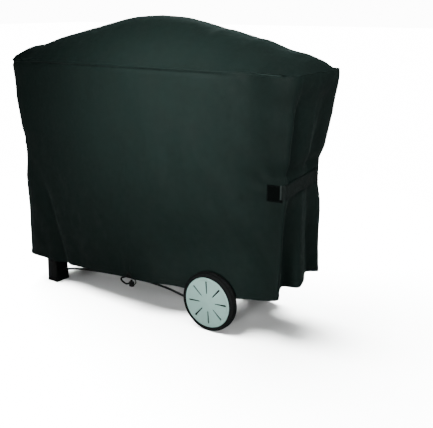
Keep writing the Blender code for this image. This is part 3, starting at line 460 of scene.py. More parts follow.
def finishes():
    made = {
        "cloth": cloth_finish("cover_cloth", (0.0044, 0.0110, 0.0092)),
        "lining": cloth_finish("cover_hem_cloth", (0.0046, 0.0098, 0.0086)),
        "webbing": webbing_finish("strap_webbing", (0.0094, 0.0135, 0.0123)),
        "binding": webbing_finish("strap_binding", (0.035, 0.046, 0.043)),
        "tape": hook_finish("hook_tape", (0.0010, 0.0018, 0.0016)),
        "thread": thread_finish("thread", (0.0011, 0.0024, 0.0021)),
        "cord": braid_finish("braided_cord", (0.0016, 0.0022, 0.0021)),
        "fittings_plastic": moulded_finish("fittings_plastic", (0.0018, 0.0024, 0.0024), 0.46),
        "foot_plastic": moulded_finish("foot_plastic", (0.0022, 0.0034, 0.0030), 0.50, 900.0, 0.0002),
        "frame_steel": painted_finish("powder_coat", (0.0050, 0.0056, 0.0056), 0.42, 0.0, 900.0, 0.0002),
        "table_plastic": moulded_finish("table_plastic", (0.045, 0.048, 0.048), 0.55, 700.0, 0.0003),
        "axle_steel": steel_finish("zinc_steel", (0.45, 0.46, 0.46), 0.34, (1.0, 40.0, 1.0)),
        "spring_steel": steel_finish("spring_steel", (0.55, 0.55, 0.55), 0.30),
        "eyelet_metal": steel_finish("blackened_brass", (0.030, 0.030, 0.028), 0.45, (1.0, 1.0, 1.0)),
        "tyre": rubber_finish("tyre_rubber", (0.0024, 0.0034, 0.0034)),
        "wheel_plastic": moulded_finish("wheel_plastic", (0.012, 0.012, 0.012), 0.55),
        "bush_nylon": moulded_finish("nylon", (0.60, 0.60, 0.57), 0.45, 900.0, 0.00008, 0.04, 0.0, 0.45),
        "hubcap": moulded_finish(
            "hubcap_plastic", (0.31, 0.50, 0.45), 0.42, 1600.0, 0.00006, 0.04, 0.15, 0.45
        ),
        "enamel": painted_finish("black_enamel", (0.010, 0.010, 0.011), 0.16, 0.6, 260.0, 0.0001, 0.06),
        "handle_plastic": moulded_finish("handle_plastic", (0.010, 0.012, 0.012), 0.50),
        "grate_iron": iron_finish("cast_iron", (0.030, 0.029, 0.028)),
    }
    return made


# ---------------------------------------------------------------- small mesh tools


def clamp01(t):
    return np.clip(t, 0.0, 1.0)


def smooth(t):
    t = clamp01(np.asarray(t, float))
    return t * t * (3 - 2 * t)


def lerp(a, b, t):
    return a + (b - a) * t


def bell(distance, width):
    return np.exp(-0.5 * (distance / width) ** 2)


def along(knots, q):
    """The smooth curve through (position, value) knots, at many positions at once."""
    xs, ys = np.array(knots, float).T
    slopes = np.empty_like(ys)
    slopes[1:-1] = (ys[2:] - ys[:-2]) / (xs[2:] - xs[:-2])
    slopes[0] = (ys[1] - ys[0]) / (xs[1] - xs[0])
    slopes[-1] = (ys[-1] - ys[-2]) / (xs[-1] - xs[-2])
    q = np.clip(q, xs[0], xs[-1])
    i = np.clip(np.searchsorted(xs, q) - 1, 0, len(xs) - 2)
    span = xs[i + 1] - xs[i]
    t = (q - xs[i]) / span
    return (
        ys[i] * (2 * t**3 - 3 * t**2 + 1)
        + slopes[i] * span * (t**3 - 2 * t**2 + t)
        + ys[i + 1] * (3 * t**2 - 2 * t**3)
        + slopes[i + 1] * span * (t**3 - t**2)
    )


def straight(knots, q):
    xs, ys = np.array(knots, float).T
    return np.interp(q, xs, ys)


def grain(points, stretch, offset=0.0):
    """Smooth noise from about -1 to 1 at each point of an array of any shape ending in 3."""
    flat = np.asarray(points, float).reshape(-1, 3) * np.array(stretch, float) + offset
    values = [noise.noise(Vector(p)) for p in flat]
    return np.array(values).reshape(np.shape(points)[:-1])


def mesh_piece(name, verts, faces, slot, uvs=None, flat=False):
    mesh = bpy.data.meshes.new(name)
    mesh.from_pydata(np.asarray(verts, float).tolist(), [], [tuple(int(i) for i in f) for f in faces])
    mesh.materials.append(MATS[slot])
    if uvs is not None:
        layer = mesh.uv_layers.new(name="cloth")
        corner_verts = np.empty(len(mesh.loops), np.int32)
        mesh.loops.foreach_get("vertex_index", corner_verts)
        layer.data.foreach_set("uv", np.asarray(uvs, np.float32)[corner_verts].ravel())
    if not flat:
        mesh.shade_smooth()
    return link(bpy.data.objects.new(name, mesh))


def grid_faces(rows, columns, closed=False):
    r = np.arange(rows - 1)[:, None] * columns
    c = np.arange(columns if closed else columns - 1)[None, :]
    n = (c + 1) % columns
    quads = np.stack([r + c, r + n, r + columns + n, r + columns + c], axis=-1)
    return quads.reshape(-1, 4)


@contextlib.contextmanager
def editing(obj):
    """Opens a mesh to change it, and writes it back."""
    body = bmesh.new()
    body.from_mesh(obj.data)
    yield body
    body.to_mesh(obj.data)
    body.free()


def outward(obj):
    """Turns a closed mesh's faces outwards."""
    with editing(obj) as body:
        bmesh.ops.recalc_face_normals(body, faces=body.faces)
    return obj


def apply_modifiers(obj):
    graph = bpy.context.evaluated_depsgraph_get()
    mesh = bpy.data.meshes.new_from_object(obj.evaluated_get(graph))
    obj.modifiers.clear()
    obj.data = mesh
    return obj


def thicken(obj, thickness, offset=-1.0):
    change = obj.modifiers.new("thickness", "SOLIDIFY")
    change.thickness = thickness
    change.offset = offset
    return obj


def sharpen(obj, degrees=35.0):
    obj.data.shade_smooth()
    obj.data.set_sharp_from_angle(angle=math.radians(degrees))
    return obj


def bevel(obj, width, segments=3, degrees=40.0):
    change = obj.modifiers.new("edges", "BEVEL")
    change.width = width
    change.segments = segments
    change.limit_method = "ANGLE"
    change.angle_limit = math.radians(degrees)
    change.harden_normals = False
    return obj


def slab(name, low, high, slot, radius=0.002, segments=3):
    """A block between two corners with rounded edges."""
    verts = [(x, y, z) for x in (low[0], high[0]) for y in (low[1], high[1]) for z in (low[2], high[2])]
    faces = [(0, 1, 3, 2), (4, 6, 7, 5), (0, 4, 5, 1), (2, 3, 7, 6), (0, 2, 6, 4), (1, 5, 7, 3)]
    obj = outward(mesh_piece(name, verts, faces, slot))
    bevel(obj, radius, segments)
    return sharpen(apply_modifiers(obj))


def turned(
    name, profile, slot, axis="Z", centre=(0.0, 0.0, 0.0), segments=96, stretch=(1.0, 1.0), angle=32.0
):
    """A turned piece from (radius, height) points. It is closed, or runs from axis to axis."""
    to_axis = profile[0][0] == 0.0 and profile[-1][0] == 0.0
    rings = np.array(profile[1:-1] if to_axis else profile, float)
    turn = np.linspace(0, 2 * math.pi, segments, endpoint=False)
    across = np.cos(turn)[:, None] * rings[:, 0] * stretch[0]
    up = np.sin(turn)[:, None] * rings[:, 0] * stretch[1]
    height = np.broadcast_to(rings[:, 1], across.shape)
    order = (across, up, height) if axis == "Z" else (across, height, up)
    verts = np.stack(order, axis=-1).reshape(-1, 3)
    count = len(rings)
    faces = []
    for s in range(segments):
        here, there = s * count, (s + 1) % segments * count
        last = count - 1 if to_axis else count
        for i in range(last):
            j = (i + 1) % count
            faces.append((here + i, here + j, there + j, there + i))
    if to_axis:
        tips = []
        for end, ring in ((profile[0][1], 0), (profile[-1][1], count - 1)):
            tips.append((0.0, 0.0, end) if axis == "Z" else (0.0, end, 0.0))
            tip = len(verts) + len(tips) - 1
            for s in range(segments):
                faces.append((tip, s * count + ring, (s + 1) % segments * count + ring))
        verts = np.vstack([verts, tips])
    obj = outward(mesh_piece(name, verts + np.array(centre), faces, slot))
    return sharpen(obj, angle)


def rod_along(name, radius, low, high, slot, axis, centre, segments):
    """A plain cylinder from low to high along its axis."""
    profile = [(0.0, low), (radius, low), (radius, high), (0.0, high)]
    return turned(name, profile, slot, axis, centre, segments)


def arc(cx, cz, radius, start, end, steps):
    """Points of an arc in degrees, for a profile."""
    turn = np.radians(np.linspace(start, end, steps))
    return [(cx + radius * math.cos(a), cz + radius * math.sin(a)) for a in turn]


def route_through(points, steps):
    """A smooth line through the points."""
    p = np.array(points, float)
    p = np.vstack([2 * p[0] - p[1], p, 2 * p[-1] - p[-2]])
    t = np.linspace(0, 1, steps, endpoint=False)[:, None]
    parts = []
    for a, b, c, d in zip(p, p[1:], p[2:], p[3:]):
        bend, twist = 2 * a - 5 * b + 4 * c - d, 3 * b - a - 3 * c + d
        parts.append(0.5 * (2 * b + (c - a) * t + bend * t**2 + twist * t**3))
    return np.vstack(parts + [p[-2:-1]])


def piped(name, points, radius, slot, sides=4):
    """A round bar or cord along a line, as a curve."""
    curve = bpy.data.curves.new(name, "CURVE")
    curve.dimensions = "3D"
    curve.bevel_depth = radius
    curve.bevel_resolution = sides
    curve.use_fill_caps = True
    spline = curve.splines.new("POLY")
    spline.points.add(len(points) - 1)
    for spot, point in zip(spline.points, points):
        spot.co = (*point, 1.0)
    curve.materials.append(MATS[slot])
    return link(bpy.data.objects.new(name, curve))


def as_mesh(obj):
    """The piece as a mesh, with its modifiers applied."""
    if obj.type == "MESH":
        return apply_modifiers(obj)
    name = obj.name
    graph = bpy.context.evaluated_depsgraph_get()
    mesh = bpy.data.meshes.new_from_object(obj.evaluated_get(graph))
    mesh.transform(obj.matrix_world)
    bpy.data.objects.remove(obj)
    return link(bpy.data.objects.new(name, mesh))


def joined(name, objects):
    """One piece from several."""
    objects = [as_mesh(obj) for obj in objects]
    first = objects[0]
    with bpy.context.temp_override(active_object=first, selected_editable_objects=objects, object=first):
        bpy.ops.object.join()
    first.name = name
    return first


# ---------------------------------------------------------------- the cover's shape


def half_depth(x, z):
    bow = lerp(HEM_BOW, SEAM_BOW, z / SEAM_Z)
    depth = END_HALF_DEPTH + bow * (1 - (x / HALF_LENGTH) ** 2)
    beside = smooth((TUCK_END - np.abs(x - AXLE_X)) / (TUCK_END - TUCK_FLAT))
    low = smooth((TUCK_FADED - z) / (TUCK_FADED - TUCK_TOP))
    return lerp(depth, np.minimum(depth, TUCKED_HALF_DEPTH), beside * low)


def edge_x(side, facing, z):
    """How far out the corner of the walls is at a height. Facing is -1 at the front and 1 at the back."""
    if side < 0:
        return straight(LEFT_EDGE, z)
    return straight(RIGHT_FRONT_EDGE if facing < 0 else RIGHT_BACK_EDGE, z)


def seam_height(x):
    return SEAM_Z - SEAM_SAG * (1 - (x / HALF_LENGTH) ** 2)


# Pleats of the end walls as (height, places from front to back, depths outwards), for the three
# folds that run from the seam to the hem.
RIGHT_PLEATS = (
    (0.840, (0.10, 0.42, 0.70), (0.0, 0.0, 0.0)),
    (0.800, (0.10, 0.42, 0.68), (-0.002, 0.001, -0.002)),
    (0.700, (0.105, 0.42, 0.66), (-0.020, 0.004, -0.010)),
    (0.620, (0.105, 0.42, 0.66), (-0.027, 0.007, -0.017)),
    (0.560, (0.110, 0.42, 0.66), (-0.023, 0.006, -0.015)),
    (0.536, (0.13, 0.42, 0.66), (-0.005, 0.003, -0.004)),
    (0.528, (0.13, 0.42, 0.66), (-0.004, -0.002, -0.004)),
    (0.484, (0.13, 0.42, 0.66), (-0.004, -0.002, -0.004)),
    (0.472, (0.14, 0.42, 0.68), (-0.008, 0.002, -0.007)),
    (0.420, (0.165, 0.42, 0.72), (-0.023, 0.007, -0.019)),
    (0.300, (0.235, 0.42, 0.80), (-0.036, 0.010, -0.032)),
    (0.210, (0.33, 0.42, 0.87), (-0.042, 0.0115, -0.038)),
    (0.163, (0.373, 0.42, 0.897), (-0.047, 0.0116, -0.043)),
    (0.090, (0.38, 0.43, 0.90), (-0.049, 0.0116, -0.045)),
)
LEFT_PLEATS = (
    (0.840, (0.22, 0.50, 0.80), (0.0, 0.0, 0.0)),
    (0.700, (0.22, 0.50, 0.80), (-0.004, 0.003, -0.006)),
    (0.600, (0.24, 0.50, 0.80), (-0.008, 0.004, -0.010)),
    (0.536, (0.25, 0.50, 0.80), (-0.004, 0.003, -0.004)),
    (0.528, (0.25, 0.50, 0.80), (-0.004, -0.002, -0.004)),
    (0.484, (0.25, 0.50, 0.80), (-0.004, -0.002, -0.004)),
    (0.472, (0.25, 0.50, 0.78), (-0.006, 0.002, -0.006)),
    (0.400, (0.26, 0.52, 0.76), (-0.012, 0.005, -0.013)),
    (0.250, (0.28, 0.54, 0.74), (-0.020, 0.009, -0.024)),
    (0.090, (0.30, 0.56, 0.73), (-0.028, 0.012, -0.034)),
)
FRONT_COLUMNS, PLEAT_COLUMNS = 168, (24, 14, 26, 12)


def eased(count, k=0.55):
    """Shares from 0 up to 1, closer together at both ends."""
    u = np.arange(count) / count
    return (1 - k) * u + k * 0.5 * (1 - np.cos(math.pi * u))


def pleat_offsets(table, z):
    """(places, depths) of the folds at each height."""
    heights = np.array([row[0] for row in table])[::-1]
    places = np.array([row[1] for row in table])[::-1]
    depths = np.array([row[2] for row in table])[::-1]
    at = np.stack([np.interp(z, heights, places[:, k]) for k in range(3)])
    deep = np.stack([np.interp(z, heights, depths[:, k]) for k in range(3)])
    return at, deep


def end_wall(side, z, share, segment):
    """Plan points of an end wall: share runs along one stretch between its folds."""
    table = RIGHT_PLEATS if side > 0 else LEFT_PLEATS
    at, deep = pleat_offsets(table, z)
    zero, one = np.zeros_like(z), np.ones_like(z)
    at = np.vstack([[zero], at, [one]])
    deep = np.vstack([[zero], deep, [zero]])
    if side < 0:
        at, deep = 1 - at[::-1], deep[::-1]
    rows = np.arange(len(z))
    t = lerp(at[segment, rows], at[segment + 1, rows], share)
    d = lerp(deep[segment, rows], deep[segment + 1, rows], share)
    front, back = edge_x(side, -1, z), edge_x(side, 1, z)
    start = np.stack([side * front, -half_depth(front, z)], axis=-1)
    end = np.stack([side * back, half_depth(back, z)], axis=-1)
    if side < 0:
        start, end = end, start
    run = end - start
    length = np.linalg.norm(run, axis=-1, keepdims=True)
    normal = np.stack([run[:, 1], -run[:, 0]], axis=-1) / length
    return start + run * t[:, None] + normal * d[:, None]


class Ring:
    """The cover's outline as columns of points, anticlockwise from the front left corner."""

    def __init__(self):
        walls, shares, segments = [], [], []
        long_wall = (FRONT_COLUMNS,)
        columns = {"front": long_wall, "right": PLEAT_COLUMNS, "back": long_wall, "left": PLEAT_COLUMNS[::-1]}
        for wall, counts in columns.items():
            for k, count in enumerate(counts):
                walls += [wall] * count
                shares.append(eased(count) if len(counts) == 1 else np.arange(count) / count)
                segments += [k] * count
        self.wall = np.array(walls)
        self.share = np.concatenate(shares)
        self.segment = np.array(segments)
        self.count = len(walls)

    def plan(self, z):
        """(x, y) of each column, given each column's height."""
        xy = np.zeros((self.count, 2))
        for wall, facing in (("front", -1), ("back", 1)):
            m = self.wall == wall
            share = self.share[m] if facing < 0 else 1 - self.share[m]
            x = lerp(-edge_x(-1, facing, z[m]), edge_x(1, facing, z[m]), share)
            xy[m] = np.stack([x, facing * half_depth(x, z[m])], axis=-1)
        for wall, side in (("right", 1), ("left", -1)):
            m = self.wall == wall
            xy[m] = end_wall(side, z[m], self.share[m], self.segment[m])
        return xy

    def hem(self):
        """The height of the hem at each column."""
        z = np.full(self.count, STRAP_Z)
        x = self.plan(z)[:, 0]
        edge = np.where(self.wall == "back", edge_x(1, 1, STRAP_Z), edge_x(1, -1, STRAP_Z))
        edge = np.where(x < 0, edge_x(-1, -1, STRAP_Z), edge)
        height = along(HEM_LINE, HALF_LENGTH * x / edge)
        height[self.wall == "right"] = HEM_LINE[-1][1]
        height[self.wall == "left"] = HEM_LINE[0][1]
        return height


def blurred(values, sigma):
    """Values smoothed round the ring of columns, which is the second axis from the end."""
    reach = int(4 * sigma) + 1
    kernel = bell(np.arange(-reach, reach + 1), sigma)
    kernel /= kernel.sum()
    out = np.zeros_like(values)
    for k, w in zip(range(-reach, reach + 1), kernel):
        out += w * np.roll(values, k, axis=-2)
    return out


def wall_heights(ring):
    """Heights of the rows of the walls, one column of heights for each ring column."""
    seam = seam_height(ring.plan(np.full(ring.count, SEAM_Z))[:, 0]) - 0.0018
    hem = ring.hem()
    near_seam = np.array([0, 2, 4, 6.5, 9.5, 13, 17.5, 23, 30, 38]) / 1000
    upper = np.arange(0.792, 0.578, -0.0105)
    strap = np.arange(0.574, 0.462, -0.0034)
    rows = [seam - d for d in near_seam]
    rows += [np.full(ring.count, z) for z in np.concatenate([upper, strap])]
    start, end = rows[-1], hem + 0.030
    rows += [lerp(start, end, t) for t in np.arange(1, 31) / 30]
    rows += [hem + d for d in np.array([27, 24.5, 22.5, 21, 19, 16, 12.5, 9, 6, 3.5, 1.5, 0.5, 0]) / 1000]
    return np.array(rows), seam, hem


def grid_normals(points):
    """Outward normals of a grid whose columns run anticlockwise and whose rows run down."""
    across = np.roll(points, -1, axis=1) - np.roll(points, 1, axis=1)
    down = np.gradient(points, axis=0)
    normal = np.cross(down, across)
    normal /= np.maximum(np.linalg.norm(normal, axis=-1, keepdims=True), 1e-9)
    return normal


# The numbers in the next functions are the folds' heights and the scales of their noise, in metres and
# in cycles a metre.


def hanging_folds(points, below, ends):
    """Folds that grow from the seam to the hem, creases, and the pull towards the lower corners."""
    x, y, z = np.moveaxis(points, -1, 0)
    d = 0.0062 * smooth(below * 1.6) * grain(points, (6.5, 6.5, 1.1), 3.1)
    d += 0.0026 * smooth(below * 3) * grain(points, (15.0, 15.0, 2.6), 7.7)
    d += 0.0036 * grain(points, (9.0, 9.0, 8.0), 1.9)
    ridge = 1 - 2 * np.abs(grain(points, (20.0, 20.0, 12.0), 5.3))
    d += 0.0013 * ridge * (0.4 + 0.6 * smooth(grain(points, (4.0, 4.0, 4.0), 8.3) * 2 + 0.5))
    d += 0.0005 * grain(points, (48.0, 48.0, 36.0), 9.9)
    slanted = np.stack([x * 0.80 + z * 0.60, y, z], axis=-1)
    return d + 0.0034 * grain(slanted, (17.0, 4.0, 1.5), 6.6) * smooth((0.62 - z) / 0.3) * ~ends


def corner_fold(x, z):
    """The soft fold at the lower left of the front and of the back, and the valley beside it."""
    valley_x = -0.445 + (0.37 - z) * 0.31
    grow = smooth((0.43 - z) / 0.12)
    return -0.0150 * grow * bell(x - valley_x, 0.020) + 0.0065 * grow * bell(x + 0.500, 0.024)


def tape_pull(x, z, tape_x):
    """Creases that fan out from the tape where the strap pulls on the wall."""
    reach = np.sign(tape_x) * (tape_x - x)
    rise = z - STRAP_Z
    radius = np.hypot(reach, rise)
    fan = np.cos(np.arctan2(rise, np.maximum(reach, 0.004)) * 7.0 + 0.6)
    pull = 0.0034 * fan * smooth((radius - 0.030) / 0.03) * np.exp(-radius / 0.085)
    return pull - 0.0030 * bell(rise, 0.030) * bell(reach, 0.05)


def strap_swell(points):
    """How the ends swell above and below the strap, and where the strap holds them in."""
    rise = points[..., 2] - STRAP_Z
    held = smooth((STRAP_HEIGHT / 2 + 0.003 - np.abs(rise)) / 0.004)
    scallop = 0.55 + 0.45 * grain(points, (24.0, 24.0, 2.0), 4.4)
    return 0.0060 * bell(rise - 0.036, 0.0085) * scallop + 0.0040 * bell(rise + 0.038, 0.011) * scallop, held


def lock_gathers(d, x, over, ring_gap):
    """The front's folds with gathers over the cord lock, flat cloth round the eyelet and a slit."""
    near = np.abs(x - EYELET_X) * (1 - 0.25 * clamp01(over / 0.12))
    gather = np.cos(2 * math.pi * near / 0.017) * np.exp(-near / 0.030) * np.exp(-over / 0.055)
    d = d + 0.0030 * gather - 0.0016 * np.exp(-near / 0.05) * np.exp(-over / 0.08)
    d = d * smooth((ring_gap - 0.009) / 0.014)
    slit = bell(x - EYELET_X, 0.0036) * smooth((over - 0.024) / 0.010) * smooth((0.072 - over) / 0.030)
    beside = bell(np.abs(x - EYELET_X) - 0.012, 0.006) * slit**0.1 * (over > 0.0)
    return d - (0.0075 * slit - 0.0030 * beside)


def puckers(points, under, over, ring_gap):
    """Small puckers along the seam and along the hem's stitches and fold."""
    level, sloped = points * (1, 1, 0), points * (1, 1, 0.15)
    d = 0.0008 * grain(level, (58.0, 58.0, 1.0), 2.2) * np.exp(-under / 0.010)
    d += 0.0011 * grain(sloped, (24.0, 24.0, 20.0), 6.1) * np.exp(-under / 0.045)
    d += 0.0007 * grain(level, (46.0, 46.0, 1.0), 8.2) * bell(over - 0.0215, 0.008)
    at_hem = -0.0005 * bell(over - 0.0215, 0.0012) + 0.0008 * bell(over - 0.010, 0.007)
    return d + at_hem * smooth((ring_gap - 0.009) / 0.010)


def end_fullness(x, y, z):
    """How far the ends stand out over the strap, at the roof and lower down."""
    upper, lower = smooth((z - 0.545) / 0.06), smooth((0.475 - z) / 0.07)
    rim = smooth((z - 0.738) / 0.09)
    far_side = smooth((y + 0.06) / 0.12)
    right = 0.0115 * upper + 0.0105 * rim + 0.0085 * lower * far_side
    left = 0.0075 * upper + 0.0095 * rim + 0.0042 * lower
    return np.where(x > 0, right, left) * smooth((np.abs(x) - 0.44) / 0.09)


def wall_folds(points, ring, seam, hem):
    """How far the cloth stands out from its plain shape at each grid point."""
    x, y, z = np.moveaxis(points, -1, 0)
    wall = np.broadcast_to(ring.wall, z.shape)
    front, back = wall == "front", wall == "back"
    ends = ~(front | back)
    under, over = seam - z, z - hem
    ring_gap = np.hypot(x - EYELET_X, z - EYELET_Z)
    d = hanging_folds(points, under / (seam - hem), ends)
    # The tucked cloth behind each wheel lies flat
    beside = smooth((TUCK_END - np.abs(x - AXLE_X)) / (TUCK_END - TUCK_FLAT)) * ~ends
    low = smooth((TUCK_FADED - z) / (TUCK_FADED - TUCK_TOP))
    d = np.where(d > 0, d * (1 - 0.85 * beside * low), d)
    d += np.where(ends, 0.0, corner_fold(x, z))
    for wall_now, tape_x in ((front, 0.530), (back, -0.512)):
        d += np.where(wall_now, tape_pull(x, z, tape_x), 0.0)
    swell, held = strap_swell(points)
    d = np.where(ends, (d * 0.8 + swell) * (1 - held) - 0.0004 * held, d)
    d = np.where(front, lock_gathers(d, x, over, ring_gap), d)
    d += puckers(points, under, over, ring_gap)
    # The cloth is drawn in under the roof's lip
    d -= 0.0038 * bell(under - 0.0105, 0.0036) * (1 - smooth((x - 0.26) / 0.20))
    # The top of each end rolls over into the roof
    near_end = smooth((np.abs(x) - 0.535) / 0.030)
    d += end_fullness(x, y, z) - 0.0030 * near_end * np.exp(-((under / 0.008) ** 1.5))
    return d * np.maximum(smooth(under / 0.004), near_end), swell


def build_walls():
    """The outline of columns and the walls' grid of points, folds and all."""
    ring = Ring()
    heights, seam, hem = wall_heights(ring)
    hem_wave = 0.0012 * grain(np.stack([*ring.plan(hem).T, hem], axis=-1), (11.0, 11.0, 11.0), 0.7)
    heights = heights + hem_wave * smooth((seam - heights) / (seam - hem))
    plan = np.array([ring.plan(z) for z in heights])
    # Round corners, wide under the roof and tighter lower down
    high, low = blurred(plan, 6.5), blurred(plan, 2.4)
    plan = lerp(high, low, smooth((0.838 - heights) / 0.10)[..., None])
    points = np.concatenate([plan, heights[..., None]], axis=-1)
    folds, swell = wall_folds(points, ring, seam, hem)
    points = points + grid_normals(points) * (1, 1, 0) * folds[..., None]
    ends = (ring.wall == "right") | (ring.wall == "left")
    # The cloth over each strap laps down
    lap = 1.25 * swell * bell(heights - STRAP_Z - 0.030, 0.008) ** 0.5
    points[..., 2] -= np.where(ends, lap, 0.0)
    return ring, points


def lengths_along(line):
    """How far along a line each of its points is."""
    return np.concatenate([[0.0], np.cumsum(np.linalg.norm(np.diff(line, axis=0), axis=1))])


def wall_sheet(points):
    rows, columns = points.shape[:2]
    seam_column = np.concatenate([points, points[:, :1]], axis=1)
    lengths = lengths_along(seam_column[rows // 2])
    u = np.broadcast_to(lengths, (rows, columns + 1))
    uvs = np.stack([u, seam_column[..., 2]], axis=-1).reshape(-1, 2)
    faces = grid_faces(rows, columns + 1)[:, ::-1]
    obj = mesh_piece("cover_walls", seam_column.reshape(-1, 3), faces, "cloth", uvs)
    with editing(obj) as body:
        bmesh.ops.remove_doubles(body, verts=body.verts, dist=1e-6)
    return thicken(obj, CLOTH)


# The roof's lip as (drop below the seam, distance outside the wall), and the roof's cross folds as
# (height, place along the length, width)
ROOF_LIP = ((0.0074, 0.0022), (0.0055, 0.0032), (0.0026, 0.0033), (0.0003, 0.0024))
ROOF_FOLDS = (
    (0.0030, 0.262, 0.012), (0.0024, 0.387, 0.014), (0.0024, 0.520, 0.012),
    (-0.0022, 0.232, 0.018), (-0.0022, 0.352, 0.020),
)


def roof_height(x, y):
    v = np.abs(y) / half_depth(x, np.full_like(x, SEAM_Z))
    seam = seam_height(x)
    crown = along(ROOF_RIDGE, np.abs(x) * 0.972) - seam
    return seam + np.maximum(crown, 0.0) * (1 - clamp01(v) ** ROOF_CROWN_POWER)


def outward_plan(edge):
    """Unit normals of a closed line seen from above."""
    normal = np.roll(edge, -1, axis=0) - np.roll(edge, 1, axis=0)
    normal = np.stack([normal[:, 1], -normal[:, 0]], axis=-1)
    return normal / np.linalg.norm(normal, axis=1, keepdims=True)


def roof_lip(edge, normal):
    """Rows of the roof's lip over the walls' top edge, from the lowest up. It thins out towards both ends."""
    seam = seam_height(edge[:, 0])
    pucker = grain(np.column_stack([edge, 0 * seam]), (58.0, 58.0, 1.0), 2.2)
    thin = 1 - 0.85 * smooth((edge[:, 0] - 0.24) / 0.18) - 0.65 * smooth((-edge[:, 0] - 0.535) / 0.030)
    rows = []
    for drop, out in ROOF_LIP:
        wave = 0.0005 * pucker * (drop > 0.001)
        place = edge + normal * (out * thin + wave)[:, None]
        rows.append(np.column_stack([place, seam - drop + 0.4 * wave]))
    return rows


def roof_relief(points, share):
    """How far the roof's cloth rises off its plain shape, at a share of the way in from its edge."""
    x = points[:, 0]
    soft = 0.0016 * grain(points, (5.0, 7.0, 5.0), 2.7) + 0.0009 * grain(points, (12.0, 20.0, 12.0), 8.8)
    crease = 0.0005 * (1 - 2 * np.abs(grain(points, (18.0, 26.0, 18.0), 4.9)))
    slope = sum(height * bell(x - middle, width) for height, middle, width in ROOF_FOLDS)
    ripple = 0.0008 * grain(points * (1, 1, 0), (40.0, 40.0, 1.0), 2.2) * math.exp(-share / 0.06)
    ends = 0.009 * smooth((-0.545 - x) / 0.025) - 0.007 * bell(x + 0.505, 0.032)
    ends -= 0.008 * bell(x - 0.545, 0.030) + 0.009 * bell(x - 0.475, 0.040)
    inland = 1 - bell(share, 0.05)
    return (soft + crease + slope * 0.7) * inland + ripple + ends * smooth(share / 0.07)


def build_roof(ring, top_row):
    """The roof sheet: rings of points from a lip over the walls' top edge up to the ridge."""
    edge = top_row[:, :2]
    normal = outward_plan(edge)
    rows = roof_lip(edge, normal)
    # The ridge line that every ring shrinks onto
    target = np.column_stack([np.clip(edge[:, 0], -ROOF_RIDGE_HALF, ROOF_RIDGE_HALF), np.zeros(len(edge))])
    for share in np.append(eased(ROOF_RINGS, 0.35), 1.0) ** 1.25:
        place = lerp(edge + normal * 0.0006, target, share)
        points = np.column_stack([place, roof_height(place[:, 0], place[:, 1])])
        if share > 0:
            points[:, 2] += roof_relief(points, share)
        rows.append(points)
    grid = np.array(rows)
    uvs = grid[..., :2].reshape(-1, 2)
    faces = grid_faces(len(rows), ring.count, closed=True)
    obj = mesh_piece("cover_roof", grid.reshape(-1, 3), faces, "cloth", uvs)
    with editing(obj) as body:
        # The last ring closes into the ridge line
        last = list(body.verts)[-ring.count:]
        bmesh.ops.remove_doubles(body, verts=last, dist=0.004)
        bmesh.ops.dissolve_degenerate(body, dist=1e-5, edges=body.edges)
        bmesh.ops.recalc_face_normals(body, faces=body.faces)
    return thicken(obj, CLOTH), grid[8]


# ---------------------------------------------------------------- stitching, tapes and hem

RECORD = frame["record"]
SLOT_OF = {entry["node"]: entry["material_slot"] for entry in RECORD["subparts"]}
BODY_OF = {node: body for body, nodes in RECORD["behaviour"]["bodies"].items() for node in nodes}


def goes_with(piece, node):
    """The piece moves with a node's body."""
    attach(piece, BODY_OF[node])
    return piece


def stands_for(piece, *nodes):
    goes_with(piece, nodes[0])
    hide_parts(*nodes)
    return piece


def shell(name, outer, inner, slot, uvs=None, closed=False, angle=50.0):
    """A thin closed solid between two grids of points of the same shape."""
    rows, columns = outer.shape[:2]
    half = rows * columns
    quads = grid_faces(rows, columns, closed)
    faces = [tuple(q) for q in quads] + [tuple(q[::-1] + half) for q in quads]
    first, last = list(range(columns)), list(range((rows - 1) * columns, half))
    if closed:
        rims = [first + first[:1], last + last[:1]]
    else:
        right = [r * columns + columns - 1 for r in range(1, rows)]
        left = [r * columns for r in range(rows - 2, -1, -1)]
        rims = [first + right + last[-2::-1] + left]
    for rim in rims:
        faces += [(b, a, half + a, half + b) for a, b in zip(rim, rim[1:])]
    both = np.vstack([outer.reshape(-1, 3), inner.reshape(-1, 3)])
    uvs = None if uvs is None else np.vstack([uvs.reshape(-1, 2)] * 2)
    return sharpen(outward(mesh_piece(name, both, faces, slot, uvs)), angle)


def between(at, far, points):
    """The points at distances along a line, given the distance of each of its own points."""
    return np.column_stack([np.interp(at, far, points[:, k]) for k in range(3)])


def evenly(points, pitch):
    """Places along a line, one every pitch, as (points, directions, distances, the line's distances)."""
    far = lengths_along(points)
    at = np.arange(pitch / 2, far[-1], pitch)
    way = between(at + pitch * 0.2, far, points) - between(at - pitch * 0.2, far, points)
    way = way / np.maximum(np.linalg.norm(way, axis=1, keepdims=True), 1e-9)
    return between(at, far, points), way, at, far


# A stitch from end to end, as (share of its length, share of its radius, rise in radii)
STITCH = (
    (-0.5, 0.25, -1.5), (-0.38, 0.85, -0.5), (-0.15, 1.0, 0.0), (0.15, 1.0, 0.0), (0.38, 0.85, -0.5),
    (0.5, 0.25, -1.5),
)
THREAD_RADIUS = 0.00033


